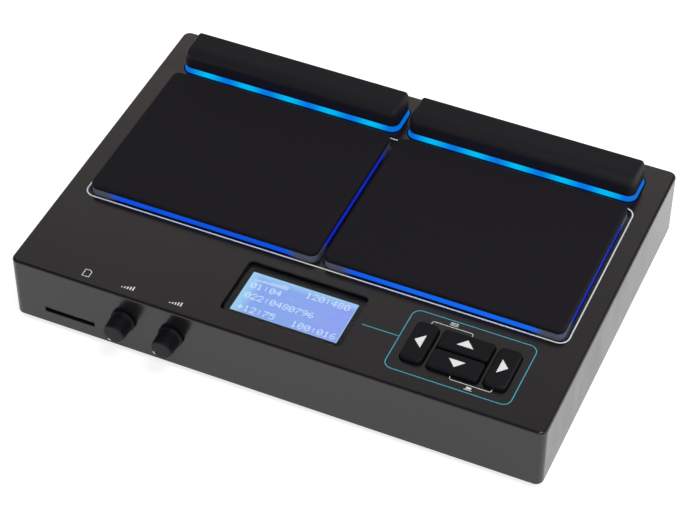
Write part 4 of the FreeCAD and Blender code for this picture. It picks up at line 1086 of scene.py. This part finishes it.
def nut(x, z):
    """A six-sided nut, hollowed wide where it sits on the nose and narrow round the thread."""
    bm = rod((x, washer_end, z), NUT_RADIUS, NUT_THICK, segments=6)
    outer = [e for e in bm.edges if all(v.co.y > washer_end + NUT_THICK - TOUCH for v in e.verts)]
    bevel(bm, outer, NUT_EASE, 2)
    through = rod((x, washer_end - 1, z), THREAD_HOLE, NUT_THICK + 2)
    seat = rod((x, washer_end - 1, z), NOSE_HOLE, nose_end + NOSE_GAP - washer_end + 1)
    return carve(carve(bm, through), seat)


nuts = joined([nut(x, JACK_Z) for x in JACK_XS])
washers = joined([turned(WASHER, (x, back, JACK_Z)) for x in JACK_XS])
threads = joined([turned(THREADED_NOSE, (x, nose_end, JACK_Z)) for x in JACK_XS])
piece(nuts, "jack_nuts", "nut_metal")
piece(washers, "jack_washers", "nut_metal")
piece(threads, "jack_threads", "jack_plastic")

# %% The five-pin socket
MIDI_FACE, MIDI_WELL, MIDI_WELL_DEPTH = 7.6, 6.6, 7.0
INSERT_RADIUS, INSERT_LENGTH = 5.7, 5.6
PIN_RING, PIN_RISE, PIN_RADIUS, PIN_DEPTH = 4.0, 0.6, 0.85, 6.0
SHIELD = ((5.75, -7.0), (5.75, -1.4), (5.95, -1.3), (6.1, -1.5), (6.1, -7.0))
midi_low, midi_high = node_box("midi_socket")
inner_back = back - WALL


def midi_well():
    """A cutter for the round well. Each cut uses one up."""
    return rod((midi.x, back - MIDI_WELL_DEPTH, midi.z), MIDI_WELL, MIDI_WELL_DEPTH + 1)


def pin_hole(angle):
    x, z = midi.x - PIN_RING * cos(angle), midi.z - PIN_RING * sin(angle) + PIN_RISE
    return rod((x, back - PIN_DEPTH, z), PIN_RADIUS, PIN_DEPTH, segments=20)


midi_can = carve(block(midi_low, (midi_high.x, inner_back, midi_high.z)), midi_well())
midi_face = carve(rod((midi.x, inner_back, midi.z), MIDI_FACE, WALL), midi_well())
insert = rod((midi.x, back - MIDI_WELL_DEPTH, midi.z), INSERT_RADIUS, INSERT_LENGTH)
insert = carve(insert, *[pin_hole(pi * step / 4) for step in range(5)])
piece(joined([midi_can, midi_face]), "round_socket_body", "jack_plastic", replaces=["midi_socket"])
piece(insert, "round_socket_insert", "port_black")
piece(turned(SHIELD, (midi.x, back, midi.z)), "round_socket_shield", "socket_metal")

# %% The data socket
USB_SHELL, USB_CORNER, USB_MOUTH_CORNER, USB_RIM = 0.6, 1.0, 0.5, 0.15
TONGUE_X, TONGUE_Z, TONGUE_Y, TONGUE_EASE = 5.6, 3.2, 9.0, 0.4
CONTACT_X, CONTACT_HALF, CONTACT_THICK = 1.25, 0.5, 0.2
CONTACT_START, CONTACT_END, CONTACT_LIFT = 1.0, 0.6, 0.06

usb_low, usb_high = node_box("usb_socket")
usb_mouth = block_out((usb_low.x + USB_SHELL, usb_low.y + USB_SHELL, usb_low.z + USB_SHELL),
                      (usb_high.x - USB_SHELL, back + CUT_OUTSIDE, usb_high.z - USB_SHELL),
                      USB_MOUTH_CORNER)
usb_shell = carve(block_out(usb_low, usb_high, USB_CORNER, USB_RIM), usb_mouth)
piece(usb_shell, "data_socket_shell", "socket_metal", replaces=["usb_socket"])
tongue_low = Vector((usb.x - TONGUE_X / 2, usb_low.y + USB_SHELL, usb.z - TONGUE_Z / 2))
tongue_high = Vector((usb.x + TONGUE_X / 2, usb_low.y + TONGUE_Y, usb.z + TONGUE_Z / 2))
tongue = block_out(tongue_low, tongue_high, TONGUE_EASE, TONGUE_EASE)
piece(tongue, "data_socket_tongue", "port_black")
contacts = []
for x in (usb.x - CONTACT_X, usb.x + CONTACT_X):
    for z in (tongue_low.z - CONTACT_LIFT, tongue_high.z + CONTACT_LIFT - CONTACT_THICK):
        contacts.append(block((x - CONTACT_HALF, tongue_low.y + CONTACT_START, z),
                              (x + CONTACT_HALF, tongue_high.y - CONTACT_END, z + CONTACT_THICK)))
piece(joined(contacts), "data_socket_contacts", "contact_gold")

# %% The power inlet
POWER_PIN = ((0.0, -1.1), (0.55, -1.1), (0.95, -1.3), (1.05, -1.7), (1.05, -9.9), (0.0, -9.9))
POWER_RIM = ((2.92, -0.3), (2.92, 0.15), (3.2, 0.35), (4.3, 0.35), (4.6, 0.1), (4.6, -0.3))
inlet_place = (power.x, back, power.z)
piece(turned(POWER_PIN, inlet_place, closed=False, steps=24), "power_inlet_pin", "socket_metal")
piece(turned(POWER_RIM, inlet_place), "power_inlet_rim", "jack_plastic")

# %% The power button
BUTTON_CORNER, BUTTON_RIM = 0.9, 0.7
BUTTON_FLANGE, BUTTON_FLANGE_CORNER, BUTTON_GAP = 1.0, 0.3, 0.25
STEM_START, STEM_END = 0.31, 0.69

button_low, button_high = node_box("power_button")
flange_back = inner_back - BUTTON_GAP
cap_low = Vector((BUTTON_FACE[0].x, flange_back, BUTTON_FACE[0].z))
cap_high = Vector((BUTTON_FACE[1].x, button_high.y, BUTTON_FACE[1].z))
flange_low = Vector((button_low.x, flange_back - BUTTON_FLANGE, cap_low.z))
button_cap = block_out((cap_low.x, flange_low.y + BUTTON_FLANGE / 2, cap_low.z), cap_high, BUTTON_CORNER,
                       BUTTON_RIM)
button_flange = block_out(flange_low, (button_high.x, flange_back, cap_high.z), BUTTON_FLANGE_CORNER)
stem_low, stem_high = cap_low.lerp(cap_high, STEM_START), cap_low.lerp(cap_high, STEM_END)
button_stem = block_out((stem_low.x, button_low.y, stem_low.z), (stem_high.x, flange_low.y, stem_high.z))
piece(joined([button_cap, button_flange, button_stem]), "power_cap", "button_plastic", "power_button",
      replaces=["power_button"])
print("back hardware reaches", round(cap_high.y, 2), "mm")

# %% [markdown]
# ## Feet and screws
# The object stands on four turned rubber feet with a shallow dish under each. Four pan-head screws
# with a cross recess hold the steel plate to the columns in the corners of the cover.

# %% Turn the feet and the screws
FOOT = ((0.0, 0.7), (3.0, 0.7), (3.5, 0.15), (4.0, 0.0), (7.0, 0.0), (7.7, 0.3), (8.0, 1.0), (8.0, 3.7),
        (0.0, 3.7))
SCREW_HEAD = ((0.0, 2.0), (1.4, 2.05), (2.4, 2.35), (2.9, 2.9), (3.0, 3.7), (0.0, 3.7))
FOOT_RADIUS, SCREW_INSET = 8.0, 6.4
CROSS_LONG, CROSS_NARROW, CROSS_LOW, CROSS_HIGH = 1.7, 0.35, 1.0, 2.9


def four_corners(low, high, inset):
    return [(x, y) for x in (low.x + inset, high.x - inset) for y in (low.y + inset, high.y - inset)]


def screw_head(x, y):
    """A pan head, cut twice for its cross."""
    head = turned(SCREW_HEAD, (x, y, 0), upright=True, closed=False, steps=32)
    for across, along in ((CROSS_LONG, CROSS_NARROW), (CROSS_NARROW, CROSS_LONG)):
        head = carve(head, block((x - across, y - along, CROSS_LOW), (x + across, y + along, CROSS_HIGH)))
    return head


foot_places = four_corners(*node_box("rubber_feet"), FOOT_RADIUS)
feet = joined([turned(FOOT, (x, y, 0), upright=True, closed=False) for x, y in foot_places])
piece(feet, "turned_feet", "foot_rubber", replaces=["rubber_feet"])
screws = joined([screw_head(x, y) for x, y in four_corners(cover_low, cover_high, SCREW_INSET)])
piece(screws, "plate_screws", "screw_steel")

# %% [markdown]
# ## Printed lines
# The printing on the panel is a film of paint. A white line frames the large pads, a teal line frames
# the keys and leads to the display, and two brackets tie pairs of keys together. Each starts as a flat
# face with rounded corners; an inset leaves a ring, which gets a hair of thickness. Places are in mm:
# across from the middle, and back from the front face.

# %% Helpers for print


def flat_print(low, high):
    """A flat face as large as the space between two places, and the middle where it belongs."""
    bm = bmesh.new()
    bmesh.ops.create_grid(bm, x_segments=1, y_segments=1, size=0.5)
    stretch(bm, (high[0] - low[0], high[1] - low[1], 1))
    return bm, ((low[0] + high[0]) / 2, front + (low[1] + high[1]) / 2, 0)


def bar_print(low, high):
    bm, centre = flat_print(low, high)
    shift(bm, centre)
    return thicken(bm, PRINT_THICK, (0, 0, PANEL))


def ring_print(low, high, corner, width, notch=0.0, open_at=None, kept=1):
    """A printed ring. A notch cuts one corner off, and open_at ends the ring there.

    What lies behind that place is kept, or what lies before it where kept is -1.
    """
    bm, centre = flat_print(low, high)
    corners = list(bm.verts)
    if notch:
        cut_off = max(bm.verts, key=lambda v: v.co.x + v.co.y)
        corners.remove(cut_off)
        bevel(bm, [cut_off], notch, 1, "VERTICES")
    bevel(bm, corners, corner, 8, "VERTICES")
    bmesh.ops.inset_region(bm, faces=list(bm.faces), thickness=width, use_boundary=True,
                           use_even_offset=True)
    inner = [face for face in bm.faces if len(face.verts) > 4]
    bmesh.ops.delete(bm, geom=inner, context="FACES")
    shift(bm, centre)
    if open_at is not None:
        bmesh.ops.bisect_plane(bm, geom=everything(bm), plane_co=(0, front + open_at, 0),
                               plane_no=(0, kept, 0), clear_inner=True)
    return thicken(bm, PRINT_THICK, (0, 0, PANEL))


print("print is", PRINT_THICK, "mm thick")

# %% Print the outlines
pad_outline = ring_print((-143.5, 62.3), (143.5, 174.9), 6.0, 0.8)
key_outline = ring_print((60.4, 10.4), (131.1, 55.6), 5.0, 0.5)
key_lead = bar_print((39.3, 33.15), (60.7, 33.65))
rear_bracket = ring_print((72.6, 40), (96.1, 50.8), 1.5, 0.4, open_at=48.5)
front_bracket = ring_print((95.6, 15.7), (119.3, 26), 1.5, 0.4, open_at=17.9, kept=-1)
piece(pad_outline, "pad_outline", "print_white")
piece(joined([key_outline, key_lead]), "key_outline", "print_teal")
piece(joined([rear_bracket, front_bracket]), "key_brackets", "print_white")

# %% [markdown]
# ## Symbols in place of words
# Where the panel is lettered, this part has plain symbols: a card outline by the card slot, a rising
# wedge by each volume knob, three lines for a menu and a tray for saving.

# %% Print the symbols
CARD_X, CARD_Y, CARD_HALF_X, CARD_HALF_Y = -111.3, 8.0, 2.2, 2.7
CARD_CORNER, CARD_LINE, CARD_NOTCH = 0.4, 0.4, 1.3
WEDGE_XS, WEDGE_STEP, WEDGE_BAR = (-86.2, -57.5), 1.6, 0.8
WEDGE_LEFT, WEDGE_Y, WEDGE_LOWEST, WEDGE_RISE = 3.6, 6.0, 0.7, 0.55
MENU_LEFT, MENU_RIGHT, MENU_Y, MENU_STEP, MENU_LINE = 82.0, 86.4, 51.8, 0.9, 0.4
TRAY = (((105.4, 12.4), (109.8, 12.8)), ((106.2, 13.3), (109.0, 14.7)))

symbols = [ring_print((CARD_X - CARD_HALF_X, CARD_Y - CARD_HALF_Y),
                      (CARD_X + CARD_HALF_X, CARD_Y + CARD_HALF_Y), CARD_CORNER, CARD_LINE, CARD_NOTCH)]
for middle_x in WEDGE_XS:
    for step in range(5):
        bar_left = middle_x - WEDGE_LEFT + WEDGE_STEP * step
        bar_top = WEDGE_Y + WEDGE_LOWEST + WEDGE_RISE * step
        symbols.append(bar_print((bar_left, WEDGE_Y), (bar_left + WEDGE_BAR, bar_top)))
for step in range(3):
    line_y = MENU_Y + MENU_STEP * step
    symbols.append(bar_print((MENU_LEFT, line_y), (MENU_RIGHT, line_y + MENU_LINE)))
symbols += [bar_print(low, high) for low, high in TRAY]
piece(joined(symbols), "panel_symbols", "print_white")

# %% [markdown]
# ## What the display shows
# The glass shows plain numbers and a level row in pale dots. Numbers are drawn on a grid of five by
# seven dots, each sign written as seven rows of bits. A text object would be quicker, but it would
# lack the dots that a real display shows.

# %% Draw the dots
DOT_PITCH, DOT_SIZE, DOT_LIFT = 0.62, 0.56, 0.02
SIGN_COLUMNS, SIGN_ROWS = 5, 7
SIGNS = {
    "0": (14, 17, 19, 21, 25, 17, 14), "1": (4, 12, 4, 4, 4, 4, 14), "2": (14, 17, 1, 2, 4, 8, 31),
    "3": (31, 2, 4, 2, 1, 17, 14), "4": (2, 6, 10, 18, 31, 2, 2), "5": (31, 16, 30, 1, 1, 17, 14),
    "6": (6, 8, 16, 30, 17, 17, 14), "7": (31, 1, 2, 4, 8, 8, 8), "8": (14, 17, 17, 14, 17, 17, 14),
    "9": (14, 17, 17, 15, 1, 2, 12), ":": (0, 4, 4, 0, 4, 4, 0), "+": (0, 4, 4, 31, 4, 4, 0),
}


def sign_dots(text, left, middle):
    """Where the dots of a line of signs lie, from its left end and the height of its middle."""
    upper = middle + DOT_PITCH * (SIGN_ROWS - 1) / 2
    for index, sign in enumerate(text):
        for row, bits in enumerate(SIGNS[sign]):
            for column in range(SIGN_COLUMNS):
                if bits & (16 >> column):
                    place = index * (SIGN_COLUMNS + 1) + column
                    yield (left + place * DOT_PITCH, upper - row * DOT_PITCH)


def dots(places):
    bm = bmesh.new()
    for x, y in places:
        made = bmesh.ops.create_grid(bm, x_segments=1, y_segments=1, size=DOT_SIZE / 2)
        shift(bm, (x, y, 0), made["verts"])
    return thicken(bm, DOT_LIFT, (0, 0, screen_high.z))


print("a sign is", SIGN_COLUMNS * DOT_PITCH, "mm wide")

# %% Fill the display. Places are in mm from its upper left corner.
LEVEL_LEFT, LEVEL_DROP, LEVEL_COLUMNS = 3.5, 5.6, 16
LINES = (("120:480", 33.5, 4.4), ("01:04", 3.0, 9.4), ("022:0480796", 3.2, 17.2), ("+12:75", 3.2, 26.6),
         ("100:016", 35.0, 26.6))
MARK_COLOUR, MARK_STRENGTH = colour(214, 238, 255), 0.98


def marks_glow(tree):
    return MARK_COLOUR, MARK_STRENGTH, None


view_centre = (screen_low + screen_high) / 2
view_left, view_top = view_centre.x - VIEW_HALF_X, view_centre.y + VIEW_HALF_Y
level_row = [(view_left + LEVEL_LEFT + 2 * DOT_PITCH * column, view_top - LEVEL_DROP + row * DOT_PITCH)
             for column in range(LEVEL_COLUMNS) for row in range(2 + column // 4)]
lines = [dots(level_row)]
for text, left, drop in LINES:
    lines.append(dots(sign_dots(text, view_left + left, view_top - drop)))
finish("display_marks", LCD_BASE, 0.3, cloud=0.0, edge=0.0, glow=marks_glow)
piece(joined(lines), "display_marks", "display_marks")
